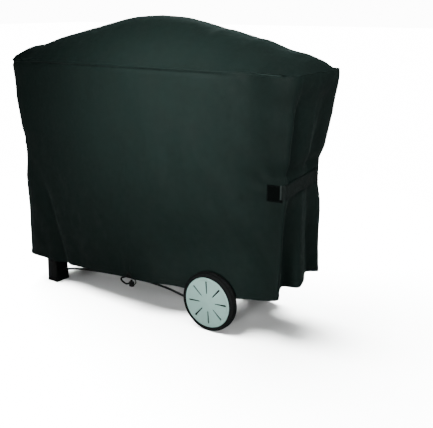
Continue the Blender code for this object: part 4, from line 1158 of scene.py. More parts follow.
def stitches(name, lines, pitch, length):
    """Rows of thread on top of the cloth. Each line is (points, outward normals)."""
    radius = THREAD_RADIUS
    turn = np.linspace(0, 2 * math.pi, 6, endpoint=False)
    verts, faces, base = [], [], 0
    quads = grid_faces(6, 6, closed=True)
    for points, normals in lines:
        places, ways, at, far = evenly(points, pitch)
        for p, t, n in zip(places, ways, between(at, far, normals)):
            n = n / np.linalg.norm(n)
            b = np.cross(t, n)
            for share, width, rise in STITCH:
                middle = p + t * share * length + n * (radius * (0.55 + rise))
                for a in turn:
                    verts.append(middle + radius * width * (n * math.cos(a) + b * math.sin(a)))
            faces += [tuple(q + base) for q in quads]
            faces += [tuple(base + k for k in range(6)), tuple(base + 30 + k for k in range(6))]
            base += 36
    return mesh_piece(name, verts, faces, "thread")


def wall_tree():
    rows, columns = WALLS.shape[:2]
    return BVHTree.FromPolygons(
        WALLS.reshape(-1, 3).tolist(), grid_faces(rows, columns, closed=True).tolist()
    )


def on_front(x, z, facing):
    """The cloth's point and outward normal on the front or back wall."""
    place, normal, _, _ = TREE.ray_cast(Vector((x, facing, z)), Vector((0, -facing, 0)))
    normal = normal if normal.y * facing > 0 else -normal
    return np.array(place), np.array(normal)


def on_end(y, z, side):
    place, normal, _, _ = TREE.ray_cast(Vector((side, y, z)), Vector((-side, 0, 0)))
    normal = normal if normal.x * side > 0 else -normal
    return np.array(place), np.array(normal)


def lying(name, across, heights, find, low, high):
    """A flat tape that follows the cloth under it. find gives the cloth's point and normal."""
    places = np.array([[find(a, z) for a in across] for z in heights])
    points, normals = places[..., 0, :], places[..., 1, :]
    normals = (normals + normals.mean(axis=(0, 1))) / 2
    u, v = np.meshgrid(np.linspace(-1, 1, len(across)), np.linspace(-1, 1, len(heights)))
    crown = (1 - np.maximum(np.abs(u), np.abs(v)) ** 14)[..., None]
    rough = TAPE_TUFT * grain(points, (900.0, 900.0, 900.0))[..., None]
    outer = points + normals * (low + (high - low) * (0.35 + 0.65 * crown) + rough)
    uvs = np.stack(np.meshgrid(across, heights), axis=-1)
    piece = shell(name, outer, points + normals * low, "tape", uvs)
    return piece, points + normals * (high + 0.0001), normals


def border(points, normals, inset=2):
    """The line round a grid of points, a few steps in from its edge."""
    lines = []
    for grid in (points, normals):
        g = grid[inset:-inset, inset:-inset]
        lines.append(np.vstack([g[0], g[1:, -1], g[-1, -2::-1], g[-2::-1, 0]]))
    return lines


def tapes(side):
    """The loop tape that a strap closes on, and the tape over the strap's sewn root."""
    word, facing = ("right", -1) if side > 0 else ("left", 1)
    edge = float(edge_x(side, -1, STRAP_Z)) - PATCH_EDGE
    xs = side * np.linspace(edge - PATCH_WIDTH, edge, 34)
    zs = STRAP_Z - 0.005 + np.linspace(-0.5, 0.5, 34) * PATCH_HEIGHT
    place = lambda x, z: on_front(x, z, facing)
    loop, points, normals = lying(f"loop_tape_{word}_pile", xs, zs, place, TAPE_GAP, LOOP_TAPE_FACE)
    stands_for(loop, f"loop_tape_{word}")
    ys = -facing * (STRAP_ROOT_Y + np.linspace(0.003, 0.016, 12))
    place = lambda y, z: on_end(y, z, side)
    anchor, over, outs = lying(f"strap_anchor_{word}_tape", ys, zs + 0.004, place, TAPE_GAP, ANCHOR_FACE)
    stands_for(anchor, f"strap_anchor_{word}")
    thread = stitches(f"tape_stitches_{word}", [border(points, normals), border(over, outs, 1)], *TAPE_STITCH)
    return [loop, anchor, goes_with(thread, f"loop_tape_{word}")]


# How far in from the cloth the turned-up hem lies, from the second last row of the walls upwards
HEM_FOLD = (0.0013, 0.0022, 0.0040, 0.0058, 0.0069, 0.0070, 0.0058, 0.0034, 0.0018, 0.0020, 0.0025)
HEM_CLOTH = 0.0009


def level_normals():
    """The walls' outward normals, seen from above."""
    normals = grid_normals(WALLS) * (1, 1, 0)
    return normals / np.linalg.norm(normals, axis=-1, keepdims=True)


def hem_fold():
    """The cloth turned up inside the hem, with the drawcord's tunnel in it."""
    normals = level_normals()
    rows = [(WALLS[-k], normals[-k], depth) for k, depth in enumerate(HEM_FOLD, 2)]
    outer, inner = (np.array([row - n * (d + more) for row, n, d in rows]) for more in (0.0, HEM_CLOTH))
    far = lengths_along(WALLS[-8])
    uvs = np.stack([np.broadcast_to(far, outer.shape[:2]), outer[..., 2]], axis=-1)
    return goes_with(shell("cover_hem_fold", outer, inner, "lining", uvs, closed=True), "front_panel")


def closed_line(row, normals):
    return np.vstack([row, row[:1]]), np.vstack([normals, normals[:1]])


def seam_stitches(roof_row):
    """Stitches above the hem and below the roof seam, and beside the seam on the roof."""
    normals = grid_normals(WALLS)
    lines = [closed_line(WALLS[-10], normals[-10]), closed_line(WALLS[4], normals[4])]
    walls_thread = stitches("wall_stitches", lines, *HEM_STITCH)
    flat = np.zeros(len(roof_row))
    up = np.column_stack([flat, 0.3 * np.sign(roof_row[:, 1]), flat + 1.0])
    roof_thread = stitches("roof_stitches", [closed_line(roof_row, up)], *HEM_STITCH)
    return goes_with(walls_thread, "front_panel"), goes_with(roof_thread, "roof_panel")


# ---------------------------------------------------------------- straps


def strap_plan(side):
    """The strap's plan from its sewn root along the end wall, round the corner to its tip."""
    facing = -side
    near, far = float(edge_x(side, -1, STRAP_Z)), float(edge_x(side, 1, STRAP_Z))
    tangent = near - CORNER_RADIUS
    depth = float(half_depth(side * tangent, STRAP_Z))
    corner_y = depth - CORNER_RADIUS
    far_y = float(half_depth(far - CORNER_RADIUS, STRAP_Z)) - CORNER_RADIUS
    share = (corner_y + STRAP_ROOT_Y) / (corner_y + far_y)
    plan = [
        (lerp(near, far, t), facing * lerp(corner_y, -far_y, t))
        for t in np.linspace(share, 0.0, 60, endpoint=False)
    ]
    for x, y in arc(tangent, corner_y, CORNER_RADIUS, 0, 90, 12):
        plan.append((x, facing * y))
    for back in np.linspace(0.0, STRAP_TIP_LENGTH, 5)[1:]:
        plan.append((tangent - back, facing * float(half_depth(side * (tangent - back), STRAP_Z))))
    return np.array(plan) * (side, 1)


def strap_grid(plan, side, offset, heights):
    way = np.gradient(plan, axis=0)
    normal = np.column_stack([way[:, 1], -way[:, 0]])
    normal /= np.linalg.norm(normal, axis=1, keepdims=True)
    if normal[0, 0] * side < 0:
        normal = -normal
    rows = []
    for out, z in zip(offset, heights):
        rows.append(np.column_stack([plan + normal * out, np.full(len(plan), z)]))
    return np.array(rows), np.column_stack([normal, np.zeros(len(plan))])


def strap_lines(face, normal, run):
    """The stitch lines of a strap: a box with a cross at its sewn root, and a row across its tip."""
    count = len(face)
    rows = np.linspace(2, count - 3, 12).round().astype(int)
    slanting = np.linspace(1, 9, 12).round().astype(int)
    lines = [(face[rows, columns], normal[columns]) for columns in (slanting, slanting[::-1])]
    for column in (1, 9):
        lines.append((face[2:-2, column], np.tile(normal[column], (count - 4, 1))))
    for row in (2, -3):
        lines.append((face[row, 1:10], normal[1:10]))
    column = int(np.argmax(run > run[-1] - 0.0085))
    lines.append((face[1:-1, column], np.tile(normal[column], (count - 2, 1))))
    return lines


def strap(side):
    """A webbing band with rounded edges, its folded tip and its stitches."""
    word = "right" if side > 0 else "left"
    plan = strap_plan(side)
    v = np.sin(np.linspace(-1, 1, 19) * math.pi / 2)
    heights = STRAP_Z + v * STRAP_HEIGHT / 2
    middle = STRAP_STAND_OFF + STRAP_THICKNESS / 2
    half = STRAP_THICKNESS / 2 * (1 - 0.72 * np.abs(v) ** 12) * 0.86
    ribs = 0.00008 * np.cos(v * 40)
    outer, normal = strap_grid(plan, side, middle + half + ribs, heights)
    inner = strap_grid(plan, side, middle - half, heights)[0]
    run = lengths_along(plan)
    # The band bows a little out and in along its length
    bow = 0.0005 * np.sin(run / run[-1] * 9.0) * smooth(run / 0.02) * smooth((run[-1] - run) / 0.03)
    outer += normal * bow[:, None]
    inner += normal * bow[:, None]
    uvs = np.stack(np.meshgrid(run, heights), axis=-1)
    band = shell(f"strap_{word}_webbing", outer, inner, "webbing", uvs)
    stands_for(band, f"strap_{word}")
    tip = run > run[-1] - 0.0052
    fold_out = outer[:, tip] + normal[tip] * 0.0009
    fold_in = inner[:, tip] - normal[tip] * 0.0006
    fold = shell(f"strap_{word}_folded_tip", fold_out, fold_in, "binding", uvs[:, tip])
    goes_with(fold, f"strap_{word}")
    lines = strap_lines(outer + normal * 0.0001, normal, run)
    thread = goes_with(stitches(f"strap_{word}_stitches", lines, *STRAP_STITCH), f"strap_{word}")


# ---------------------------------------------------------------- drawcord, eyelet and cord lock


def lock_back_y():
    """Where the cord lock's back is, just clear of the front at the eyelet."""
    return -float(half_depth(EYELET_X, EYELET_Z)) - 0.0025


def drawcord():
    """The cord in the hem's tunnel. Both ends come out through the eyelet to the lock."""
    line = WALLS[-6] * 0.4 + WALLS[-7] * 0.6 - level_normals()[-6] * 0.0043
    first = int(np.argmax((RING.wall == "front") & (line[:, 0] > EYELET_X + 0.022)))
    loop = np.roll(line, -first, axis=0)
    loop = loop[~((np.abs(loop[:, 0] - EYELET_X) < 0.022) & (loop[:, 1] < 0))]
    outer_y = lock_back_y() + 0.0003
    inner_y = outer_y + 0.0085
    end = ((0.0, outer_y), (0.0, inner_y - 0.004), (0.003, inner_y - 0.0015), (0.010, inner_y - 0.0015))
    out = [(EYELET_X + 0.0026 + x, y, EYELET_Z) for x, y in end]
    back = [(EYELET_X - 0.0026 - x, y, EYELET_Z) for x, y in end[::-1]]
    route = np.vstack([out, loop[::3], back])
    return stands_for(piped("hem_drawcord", route_through(route, 3), CORD_RADIUS, "cord"), "drawcord")


def eyelet():
    """A pressed ring with a rolled outer lip and a turned-down inner edge."""
    face = -float(half_depth(EYELET_X, EYELET_Z))
    lip = arc(0.0079, face - 0.0005, 0.0021, 0, -180, 14)
    profile = [(0.0100, face + 0.0002)] + [(r, face - 0.0005 + (y - face + 0.0005) * 0.62) for r, y in lip]
    profile += [
        (0.0058, face + 0.0050), (0.0066, face + 0.0054), (0.0070, face + 0.0048), (0.0068, face + 0.0004)
    ]
    piece = turned("rolled_eyelet", profile, "eyelet_metal", "Y", (EYELET_X, 0.0, EYELET_Z), 64)
    return stands_for(piece, "hem_eyelet")


def rounded_outline(half_x, half_y, radius, steps=7):
    """Points round a rectangle with round corners."""
    points = []
    for k, (sx, sy) in enumerate(((1, 1), (-1, 1), (-1, -1), (1, -1))):
        middle = np.array((sx * (half_x - radius), sy * (half_y - radius)))
        for a in np.radians(np.linspace(90 * k, 90 * k + 90, steps)):
            points.append(middle + radius * np.array((math.cos(a), math.sin(a))))
    return np.array(points)


def lofted(name, centre, profile, slot, angle=30.0):
    """Rounded rectangles of (half x, half y, corner radius, height), one above another, with flat ends."""
    rings = []
    for half_x, half_y, radius, z in profile:
        plan = rounded_outline(half_x, half_y, radius) + np.array(centre)
        rings.append(np.column_stack([plan, np.full(len(plan), z)]))
    grid = np.array(rings)
    rows, columns = grid.shape[:2]
    faces = [tuple(f) for f in grid_faces(rows, columns, closed=True)]
    faces += [tuple(range(columns)), tuple(range((rows - 1) * columns, rows * columns))]
    return sharpen(outward(mesh_piece(name, grid.reshape(-1, 3), faces, slot)), angle)


def softened(half_x, half_y, radius, low, high, edge=0.0012, taper=0.0):
    """The profile of a block with round edges, narrower at the top by the taper."""
    rows = []
    for turn in np.radians((0, 22, 45, 68, 90)):
        rows.append((edge * (1 - math.sin(turn)), low + edge * (1 - math.cos(turn))))
    for inset, z in rows[::-1]:
        rows.append((inset + taper, high - (z - low)))
    return inset_rows(half_x, half_y, radius, rows)


def inset_rows(half_x, half_y, radius, rows):
    """A profile for a loft from (inset, height) rows. Its corners keep the same middle as it shrinks."""
    return [(half_x - inset, half_y - inset, max(radius - inset, 0.0004), z) for inset, z in rows]


def cut_by(piece, cutters):
    for cutter in cutters:
        change = piece.modifiers.new("cut", "BOOLEAN")
        change.operation = "DIFFERENCE"
        change.solver = "EXACT"
        change.object = cutter
    apply_modifiers(piece)
    for cutter in cutters:
        bpy.data.objects.remove(cutter)
    return piece


def lock_housing(centre, low, high):
    """A rounded block with five grooved ribs round it, and the plunger's well."""
    half_x, half_y = LOCK_SIZE[0] / 2, LOCK_SIZE[1] / 2
    block = softened(half_x, half_y, LOCK_CORNER, low, high, 0.0016)
    ribs = []
    for z in np.linspace(low + 0.0042, high - 0.0042, 5):
        for step, inset in ((-0.0008, 0.0), (-0.0004, 0.0005), (0.0004, 0.0005), (0.0008, 0.0)):
            ribs.append((half_x - inset, half_y - inset * 0.5, LOCK_CORNER, z + step))
    housing = lofted("cord_lock_body", centre[:2], block[:5] + ribs + block[5:], LOCK_SLOT)
    well = rod_along("well", 0.0046, LOCK_Z - 0.004, high + 0.01, LOCK_SLOT, "Z", centre, 48)
    stands_for(sharpen(cut_by(housing, [well]), 30.0), "cord_lock_housing")


def lock_button(centre, low, high):
    """The domed plunger."""
    radius, dome = 0.0040, 0.0016
    profile = [(0.0, low), (0.0036, low), (radius, low + 0.0004), (radius, high - 0.0022)]
    for turn in np.radians((0, 20, 40, 60, 78)):
        profile.append((radius * math.cos(turn), high - dome + dome * math.sin(turn)))
    profile.append((0.0, high))
    stands_for(turned("cord_lock_plunger", profile, LOCK_SLOT, "Z", centre, 48), "cord_lock_button")


def lock_spring(centre, top):
    """The coil spring below the plunger, which shortens as the plunger goes down."""
    wire, radius, floor = 0.00034, 0.0026, LOCK_Z - 0.0037
    turns = np.linspace(0, 4.5 * 2 * math.pi, 130)
    height = lerp(floor + wire, top - wire, smooth(np.linspace(-0.08, 1.08, 130)))
    coil = np.column_stack([centre[0] + radius * np.cos(turns), centre[1] + radius * np.sin(turns), height])
    spring = as_mesh(piped("lock_coil_spring", coil, wire, "spring_steel", 3))
    stands_for(spring, "cord_lock_spring")
    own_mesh(spring)


def lock_cord(name, node, route, radius):
    """A strand of cord between the eyelet and the lock."""
    line = route_through(np.array(route) + (EYELET_X, lock_back_y(), EYELET_Z), 8)
    strand = stands_for(piped(name, line, radius, "cord"), node)


def cord_lock():
    """A squeeze toggle, with the cord that runs through it."""
    centre = (LOCK_X, lock_back_y() - LOCK_SIZE[1] / 2, 0.0)
    low, high = LOCK_Z - LOCK_SIZE[2] / 2, LOCK_Z + LOCK_SIZE[2] / 2
    button_low = LOCK_Z + 0.0015
    lock_housing(centre, low, high)
    lock_button(centre, button_low, high + 0.0070)
    lock_spring(centre, button_low - 0.0003)
    lock_cord("lock_cord_lead", "cord_lead", LEAD_ROUTE, LEAD_RADIUS)
    lock_cord("lock_cord_return", "cord_return", RETURN_ROUTE, CORD_RADIUS)


# ---------------------------------------------------------------- wheels

TYRE = (
    (0.0868, 0.1350), (0.0874, 0.1343), (0.0925, 0.1341),
    (0.0948, 0.1348), (0.0972, 0.1368), (0.0989, 0.1398),
    (0.0998, 0.1430), (0.1000, 0.1448), (0.0986, 0.1455),
    (0.0986, 0.1464), (0.1000, 0.1471), (0.1000, 0.1496),
    (0.0984, 0.1502), (0.0984, 0.1511), (0.1000, 0.1517),
    (0.1000, 0.1541), (0.0986, 0.1548), (0.0986, 0.1557),
    (0.1000, 0.1564), (0.0999, 0.1584), (0.0993, 0.1612),
    (0.0981, 0.1638), (0.0964, 0.1659), (0.0944, 0.1672),
    (0.0932, 0.1677), (0.0927, 0.1682), (0.0917, 0.1682),
    (0.0912, 0.1677), (0.0884, 0.1677), (0.0872, 0.1672),
)
RIM = (
    (0.0095, 0.1340), (0.0175, 0.1340), (0.0180, 0.1345),
    (0.0184, 0.1452), (0.0192, 0.1460), (0.0778, 0.1460),
    (0.0788, 0.1452), (0.0790, 0.1374), (0.0795, 0.1370),
    (0.0855, 0.1370), (0.0860, 0.1375), (0.0860, 0.1595),
    (0.0855, 0.1600), (0.0795, 0.1600), (0.0790, 0.1595),
    (0.0788, 0.1508), (0.0778, 0.1500), (0.0192, 0.1500),
    (0.0184, 0.1508), (0.0180, 0.1595), (0.0175, 0.1600), (0.0095, 0.1600),
)
CAP = (
    (0.0, 0.1655), (0.0100, 0.1655), (0.0640, 0.1655), (0.0722, 0.1656), (0.0752, 0.1660), (0.0776, 0.1668),
    (0.0795, 0.1674), (0.0820, 0.1675), (0.0842, 0.1670),
    (0.0853, 0.1660), (0.0855, 0.1646), (0.0855, 0.1608),
    (0.0850, 0.1605), (0.0805, 0.1605), (0.0800, 0.1608), (0.0762, 0.1628), (0.0740, 0.1630), (0.0, 0.1630),
)
BUSH = (
    (0.0063, 0.1346), (0.0068, 0.1342), (0.0089, 0.1342), (0.0092, 0.1346), (0.0092, 0.1588),
    (0.0063, 0.1588),
)


def wedge(name, turn, facing):
    """A cutter for one slot of a wheel cap: narrow near the middle, with round ends."""
    plan = arc(0.032, 0.0, 0.0018, 100, 260, 9) + arc(0.0705, 0.0, 0.0031, -88, 88, 11)
    count = len(plan)
    verts = []
    for y in (0.155, 0.175):
        for r, across in plan:
            x = AXLE_X + r * math.cos(turn) - across * math.sin(turn)
            z = AXLE_Z + r * math.sin(turn) + across * math.cos(turn)
            verts.append((x, facing * y, z))
    faces = [tuple(range(count)), tuple(range(count, 2 * count))]
    faces += [(k, (k + 1) % count, count + (k + 1) % count, count + k) for k in range(count)]
    return outward(mesh_piece(name, verts, faces, "hubcap", None, True))


def wheel_turned(name, profile, slot, facing, segments, angle=32.0):
    """A turned piece of a wheel, about the axle. Its profile is that of the front wheel."""
    profile = [(r, facing * y) for r, y in profile]
    return turned(name, profile, slot, "Y", (AXLE_X, 0.0, AXLE_Z), segments, angle=angle)


def wheel(word, facing):
    stands_for(wheel_turned(f"tyre_{word}_rubber", TYRE, "tyre", facing, 160, 28.0), f"tyre_{word}")
    body = [wheel_turned(f"wheel_{word}_rim", RIM, "wheel_plastic", facing, 120)]
    low, high = sorted((facing * 0.1385, facing * 0.1465))
    for k in range(WHEEL_RIBS):
        corners = (0.0170, low, -0.0011), (0.0797, high, 0.0011)
        rib = slab(f"rib_{word}_{k}", *corners, "wheel_plastic", 0.0005, 2)
        turn = Matrix.Rotation(k * 2 * math.pi / WHEEL_RIBS, 4, "Y")
        rib.data.transform(Matrix.Translation((AXLE_X, 0.0, AXLE_Z)) @ turn)
        body.append(rib)
    stands_for(joined(f"wheel_{word}_rim", body), f"wheel_body_{word}")
    stands_for(wheel_turned(f"bush_{word}_sleeve", BUSH, "bush_nylon", facing, 48), f"wheel_bush_{word}")
    cap = wheel_turned(f"hubcap_{word}_disc", CAP, "hubcap", facing, 144)
    turns = [k * 2 * math.pi / HUBCAP_SLOTS + math.radians(4) for k in range(HUBCAP_SLOTS)]
    cap = cut_by(cap, [wedge(f"slot_{k}", t, facing) for k, t in enumerate(turns)])
    bevel(cap, 0.00035, 2, 50.0)
    stands_for(sharpen(apply_modifiers(cap), 30.0), f"hubcap_{word}")


# ---------------------------------------------------------------- cart

TUBES = (
    "leg_front_left", "leg_rear_left", "leg_front_right", "leg_rear_right",
    "top_rail_front", "top_rail_rear", "end_rail_left", "end_rail_right",
    "table_post_left", "table_post_right", "bowl_cradle_left", "bowl_cradle_right",
)
TIE_ROD_ARCH = (
    (-0.4267, 0.045), (-0.416, 0.047), (-0.316, 0.067), (-0.10, 0.0865),
    (0.06, 0.0855), (0.162, 0.070), (0.267, 0.046), (0.2777, 0.043),
)
FOOT_BOSS = ((0.0, 0.0), (0.0090, 0.0), (0.0084, 0.0032), (0.0074, 0.0040), (0.0, 0.0040))
SCREW_HEAD = ((0.0, 0.0), (0.0042, 0.0), (0.0042, 0.0010), (0.0030, 0.0020), (0.0, 0.0022))


def spread(node):
    """A node's middle and half sizes."""
    low, high = (np.array(corner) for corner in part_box(node))
    return (low + high) / 2, (high - low) / 2


def lying_at(place):
    """Turns a piece made along Z to lie along X at a place."""
    return Matrix.Translation(place) @ Matrix.Rotation(math.pi / 2, 4, "Y")


def foot(word, facing):
    """A moulded foot: tapered box, wider sole, a recessed band, a boss for the tie rod and two screws."""
    node = f"foot_{word}_left"
    middle, (hx, hy, hz) = spread(node)
    rows = softened(hx, hy, 0.006, 0.0, 0.012, 0.0016)
    rows += [(hx - 0.0016, hy - 0.0016, 0.005, z) for z in (0.0126, 0.0146)]
    rows += [(hx - 0.0004, hy - 0.0004, 0.006, 0.0152)]
    rows += softened(hx - 0.0004, hy - 0.0004, 0.006, 0.0, middle[2] + hz, 0.0022, 0.0016)[5:]
    parts = [lofted(f"foot_{word}_moulding", middle[:2], rows, "foot_plastic")]
    parts.append(turned("boss", FOOT_BOSS, "foot_plastic", segments=32))
    parts[-1].data.transform(lying_at((middle[0] + hx - 0.0026, facing * TIE_ROD_Y, 0.0455)))
    for z in (0.030, 0.082):
        head = turned("screw", SCREW_HEAD, "foot_plastic", "Y", segments=24)
        place = (middle[0], facing * (abs(middle[1]) + hy - 0.0016), z)
        head.data.transform(Matrix.Translation(place) @ Matrix.Scale(facing, 4, (0, 1, 0)))
        parts.append(outward(head))
    stands_for(joined(f"foot_{word}_moulding", parts), node)


def tubes():
    for node in TUBES:
        radius = 0.0016 if "cradle" in node else 0.0032
        stands_for(slab(f"{node}_tube", *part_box(node), SLOT_OF[node], radius, 4), node)


def tie_rod(word, facing):
    points = [(x, facing * TIE_ROD_Y, z) for x, z in TIE_ROD_ARCH]
    rod = piped(f"tie_rod_{word}_bar", route_through(points, 8), TIE_ROD_RADIUS, "frame_steel", 6)
    stands_for(rod, f"tie_rod_{word}")


def axle_bracket(word):
    block = slab(f"axle_block_{word}", *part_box(f"axle_bracket_{word}"), "foot_plastic", 0.0022, 4)
    bore = rod_along("bore", 0.0063, -0.2, 0.2, "foot_plastic", "Y", (AXLE_X, 0.0, AXLE_Z), 48)
    stands_for(sharpen(cut_by(block, [bore]), 30.0), f"axle_bracket_{word}")


def shelf():
    """Slats along the cart on three cross battens."""
    (x0, y0, z0), (x1, y1, z1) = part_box("lower_shelf")
    parts = []
    edges = np.linspace(y0, y1, 10)
    for k, (near, far) in enumerate(zip(edges, edges[1:])):
        low, high = (x0, near + 0.0015, z0 + 0.0045), (x1, far - 0.0015, z1)
        parts.append(slab(f"slat_{k}", low, high, "frame_steel", 0.0012))
    for k, x in enumerate((x0 + 0.03, (x0 + x1) / 2, x1 - 0.03)):
        low, high = (x - 0.012, y0, z0), (x + 0.012, y1, z0 + 0.0050)
        parts.append(slab(f"batten_{k}", low, high, "frame_steel", 0.0010))
    stands_for(joined("slatted_shelf", parts), "lower_shelf")


def side_table(word):
    """A moulded tray with a low rim and ridges across it."""
    node = f"side_table_{word}"
    middle, (hx, hy, hz) = spread(node)
    low, high = middle[2] - hz, middle[2] + hz
    rows = [(0.0040, low), (0.0024, low + 0.0003), (0.0012, low + 0.0016), (0.0, high - 0.0060)]
    rows += [(0.0003, high - 0.0022), (0.0012, high - 0.0006), (0.0030, high), (0.0052, high - 0.0004)]
    rows += [(0.0070, high - 0.0020), (0.0095, high - 0.0030), (0.0120, high - 0.0032)]
    parts = [lofted(f"{node}_tray", middle[:2], inset_rows(hx, hy, 0.025, rows), "table_plastic")]
    left, right = middle[0] - hx + 0.030, middle[0] + hx - 0.030
    for k, y in enumerate(np.linspace(-0.62, 0.62, 7) * hy):
        corners = (left, y - 0.0022, high - 0.0040), (right, y + 0.0022, high - 0.0018)
        parts.append(slab(f"ridge_{k}", *corners, "table_plastic", 0.0010))
    stands_for(joined(f"{node}_tray", parts), node)


# ---------------------------------------------------------------- grill

OVAL = (BOWL_HALF_LENGTH, BOWL_HALF_DEPTH)
BOWL_OUTSIDE = (
    (0.0, 0.6200), (0.30, 0.6200), (0.60, 0.6203), (0.70, 0.6265), (0.80, 0.6440),
    (0.88, 0.6690), (0.93, 0.6980), (0.97, 0.7320), (0.988, 0.7560),
)
BOWL_RIM = (
    (0.993, 0.7590), (1.003, 0.7600), (1.006, 0.7625), (1.004, 0.7665),
    (0.998, 0.7678), (0.984, 0.7678), (0.978, 0.7660),
)
# The lid's edge above the bowl's rim
LID_LIP = (
    (1.004, 0.0100), (1.008, 0.0060), (1.007, 0.0012), (1.001, 0.0002), (0.984, 0.0002), (0.980, 0.0030)
)
HANDLE_HALF = 0.066
HANDLE_END = (
    (0.0, -0.1165), (0.0, -0.1400), (0.0016, -0.1520), (0.009, HANDLE_Y), (HANDLE_HALF - 0.03, HANDLE_Y)
)
HANDLE_FLANGE = (
    (0.0, -0.1160), (0.0120, -0.1160), (0.0120, -0.1225),
    (0.0108, -0.1245), (0.0072, -0.1262), (0.0, -0.1262),
)
GRIP_RING = ((0.0056, -0.0016), (0.0066, -0.0010), (0.0066, 0.0010), (0.0056, 0.0016))
# The damper's disc as (radius, height above its underside)
DAMPER = (
    (0.0026, 0.0), (0.0270, 0.0), (0.0280, 0.0006), (0.0280, 0.0014),
    (0.0274, 0.0019), (0.0255, 0.0018), (0.0120, 0.0013), (0.0026, 0.0013),
)


def raised(profile, height):
    return [(r, height + z) for r, z in profile]


def enamelled(name, profile, node):
    stands_for(turned(name, profile, "enamel", "Z", (0, 0, 0), 144, OVAL, 30.0), node)


def bowl():
    outside = [tuple(p) for p in route_through(BOWL_OUTSIDE, 4)]
    inside = [(max(r - 0.018, 0.0), z + 0.004 * (1 - r) + 0.001) for r, z in outside[::-1]]
    inside[-1] = (0.0, 0.6250)
    enamelled("kettle_bowl", outside + list(BOWL_RIM) + inside[1:], "bowl")


def lid():
    bottom = BOWL_RIM_Z + 0.0005
    rise = LID_TOP_Z - bottom
    turns = np.radians(np.linspace(90, 4, 34))
    dome = [(math.cos(a), bottom + rise * math.sin(a)) for a in turns]
    dome[0] = (0.0, LID_TOP_Z)
    under = [(max(math.cos(a) - 0.020, 0.0), bottom + (rise - 0.003) * math.sin(a)) for a in turns[::-1]]
    under[-1] = (0.0, LID_TOP_Z - 0.003)
    enamelled("enamel_lid", dome + raised(LID_LIP, bottom) + under, "lid")


def lid_handle():
    """A bent bar with two flanges and rings round its grip."""
    slot = "handle_plastic"
    left = [(x - HANDLE_HALF, y, HANDLE_Z) for x, y in HANDLE_END]
    route = left + [(-x, y, z) for x, y, z in left[::-1]]
    parts = [piped("grip", route_through(route, 6), HANDLE_RADIUS, slot, 8)]
    for x in (-HANDLE_HALF, HANDLE_HALF):
        parts.append(turned("flange", HANDLE_FLANGE, slot, "Y", (x, 0.0, HANDLE_Z), 40))
    for x in np.linspace(-0.036, 0.036, 7):
        parts.append(turned("grip_ring", GRIP_RING, slot, segments=32))
        parts[-1].data.transform(lying_at((x, HANDLE_Y, HANDLE_Z)))
    stands_for(joined("lid_handle_grip", parts), "lid_handle")


def damper():
    """A disc with three vents and a tab, and the rivet that it turns on."""
    slot, low = "axle_steel", LID_TOP_Z + 0.0008
    disc = turned("disc", raised(DAMPER, low), slot)
    vents = []
    for k in range(3):
        turn = math.radians(90 + 120 * k)
        place = (0.0175 * math.cos(turn), 0.0175 * math.sin(turn), 0.0)
        vents.append(rod_along("vent", 0.0050, low - 0.01, low + 0.01, slot, "Z", place, 32))
    disc = sharpen(cut_by(disc, vents), 30.0)
    tab = slab("tab", (-0.0042, -0.0415, low), (0.0042, -0.0255, low + 0.0018), slot, 0.0007)
    stands_for(joined("damper_disc", [disc, tab]), "lid_damper")
    rivet = [(0.0, LID_TOP_Z), (0.0022, LID_TOP_Z), (0.0022, low + 0.0022), (0.0054, low + 0.0022)]
    dome = np.radians((0, 25, 50, 70))
    rivet += [(0.0056 * math.cos(a), low + 0.0024 + 0.0020 * math.sin(a)) for a in dome]
    rivet += [(0.0, low + 0.0044)]
    stands_for(turned("rivet_head", rivet, slot, segments=40), "damper_rivet")


def lid_hinge(word):
    """Two leaves and their barrel."""
    (x0, y0, z0), (x1, _, z1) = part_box(f"lid_hinge_{word}")
    middle, leaf_y, barrel_y = (z0 + z1) / 2, y0 + 0.0035, y0 + 0.0052
    plates = [
        slab("leaf", (x0, y0, z0), (x1, leaf_y, middle - 0.0012), "frame_steel", 0.0010),
        slab("leaf", (x0, y0, middle + 0.0012), (x1, leaf_y, z1), "frame_steel", 0.0010),
        piped("barrel", [(x0, barrel_y, middle), (x1, barrel_y, middle)], 0.0044, "frame_steel", 8),
    ]
    stands_for(joined(f"hinge_{word}_leaves", plates), f"lid_hinge_{word}")


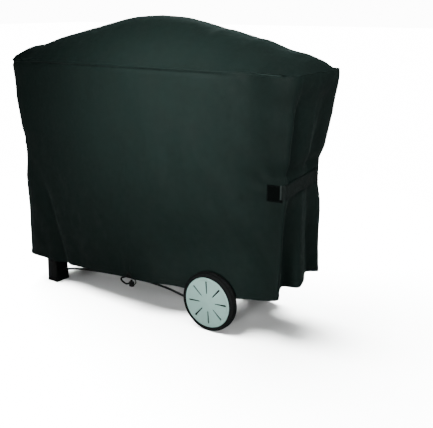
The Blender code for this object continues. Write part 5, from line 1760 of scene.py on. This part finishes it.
def rack(name, node, scale, z, bars):
    """An oval wire rack: a ring, round bars across it and two crossbars below them."""
    rim = scale - 0.022
    turn = np.linspace(0, 2 * math.pi, 121)
    x, y = rim * BOWL_HALF_LENGTH * np.cos(turn), rim * BOWL_HALF_DEPTH * np.sin(turn)
    parts = [piped(f"{name}_ring", np.column_stack([x, y, np.full(len(turn), z)]), 0.0023, "grate_iron")]
    lines = []
    for k in range(bars):
        share = (2 * (k + 1) / (bars + 1) - 1) * (scale - 0.03)
        x, y = share * BOWL_HALF_LENGTH, math.sqrt(rim**2 - share**2) * BOWL_HALF_DEPTH
        lines.append([(x, -y, z), (x, y, z)])
    for share in (-0.45 * scale, 0.45 * scale):
        x, y = math.sqrt(rim**2 - share**2) * BOWL_HALF_LENGTH, share * BOWL_HALF_DEPTH
        lines.append([(-x, y, z - 0.0018), (x, y, z - 0.0018)])
    parts += [piped(f"{name}_{k}", line, 0.0017, "grate_iron", 3) for k, line in enumerate(lines)]
    stands_for(joined(name, parts), node)


def ash_pan():
    middle, (hx, hy, hz) = spread("ash_pan")
    low, high = middle[2] - hz, middle[2] + hz
    rows = softened(hx - 0.004, hy - 0.004, 0.012, low, low + 0.012, 0.004)[:5]
    # The rolled rim and the inside, as (inset, corner radius, height)
    rim = [(0.0012, 0.0145, high - 0.0030), (0.0, 0.015, high - 0.0022), (0.0, 0.015, high - 0.0006)]
    rim += [(0.0006, 0.0145, high), (0.0022, 0.013, high), (0.0034, 0.012, high - 0.0030)]
    rim += [(0.0060, 0.010, low + 0.0060), (0.0090, 0.008, low + 0.0020)]
    rows += [(hx - inset, hy - inset, radius, z) for inset, radius, z in rim]
    stands_for(lofted("pressed_ash_pan", middle[:2], rows, "frame_steel"), "ash_pan")


def grill():
    bowl()
    lid()
    lid_handle()
    damper()
    for word in ("left", "right"):
        lid_hinge(word)
    rack("cooking_rack", "cooking_grate", 0.93, 0.7460, 23)
    rack("charcoal_rack", "charcoal_grate", 0.78, 0.6660, 13)
    ash_pan()


# ---------------------------------------------------------------- build


camera()
studio()
MATS = finishes()
RING, WALLS = build_walls()
TREE = wall_tree()
walls = stands_for(wall_sheet(WALLS), "front_panel", "back_panel", "left_panel", "right_panel")
roof, topstitch = build_roof(RING, WALLS[0])
stands_for(roof, "roof_panel")
trims = [hem_fold(), *tapes(1), *tapes(-1)]
wall_thread, roof_thread = seam_stitches(topstitch)
cord_lock()
trims += [drawcord(), eyelet(), wall_thread]
for side in (1, -1):
    strap(side)
for word, facing in (("front", -1), ("rear", 1)):
    wheel(word, facing)
    foot(word, facing)
tubes()
for word, facing in (("front", -1), ("rear", 1)):
    tie_rod(word, facing)
    axle_bracket(word)
shelf()
side_table("left")
side_table("right")
grill()

for node, slot in SLOT_OF.items():
    if not frame["nodes"][node].hide_render:
        frame["nodes"][node].data.materials.clear()
        frame["nodes"][node].data.materials.append(MATS[slot])
        frame["nodes"][node].data.shade_smooth()
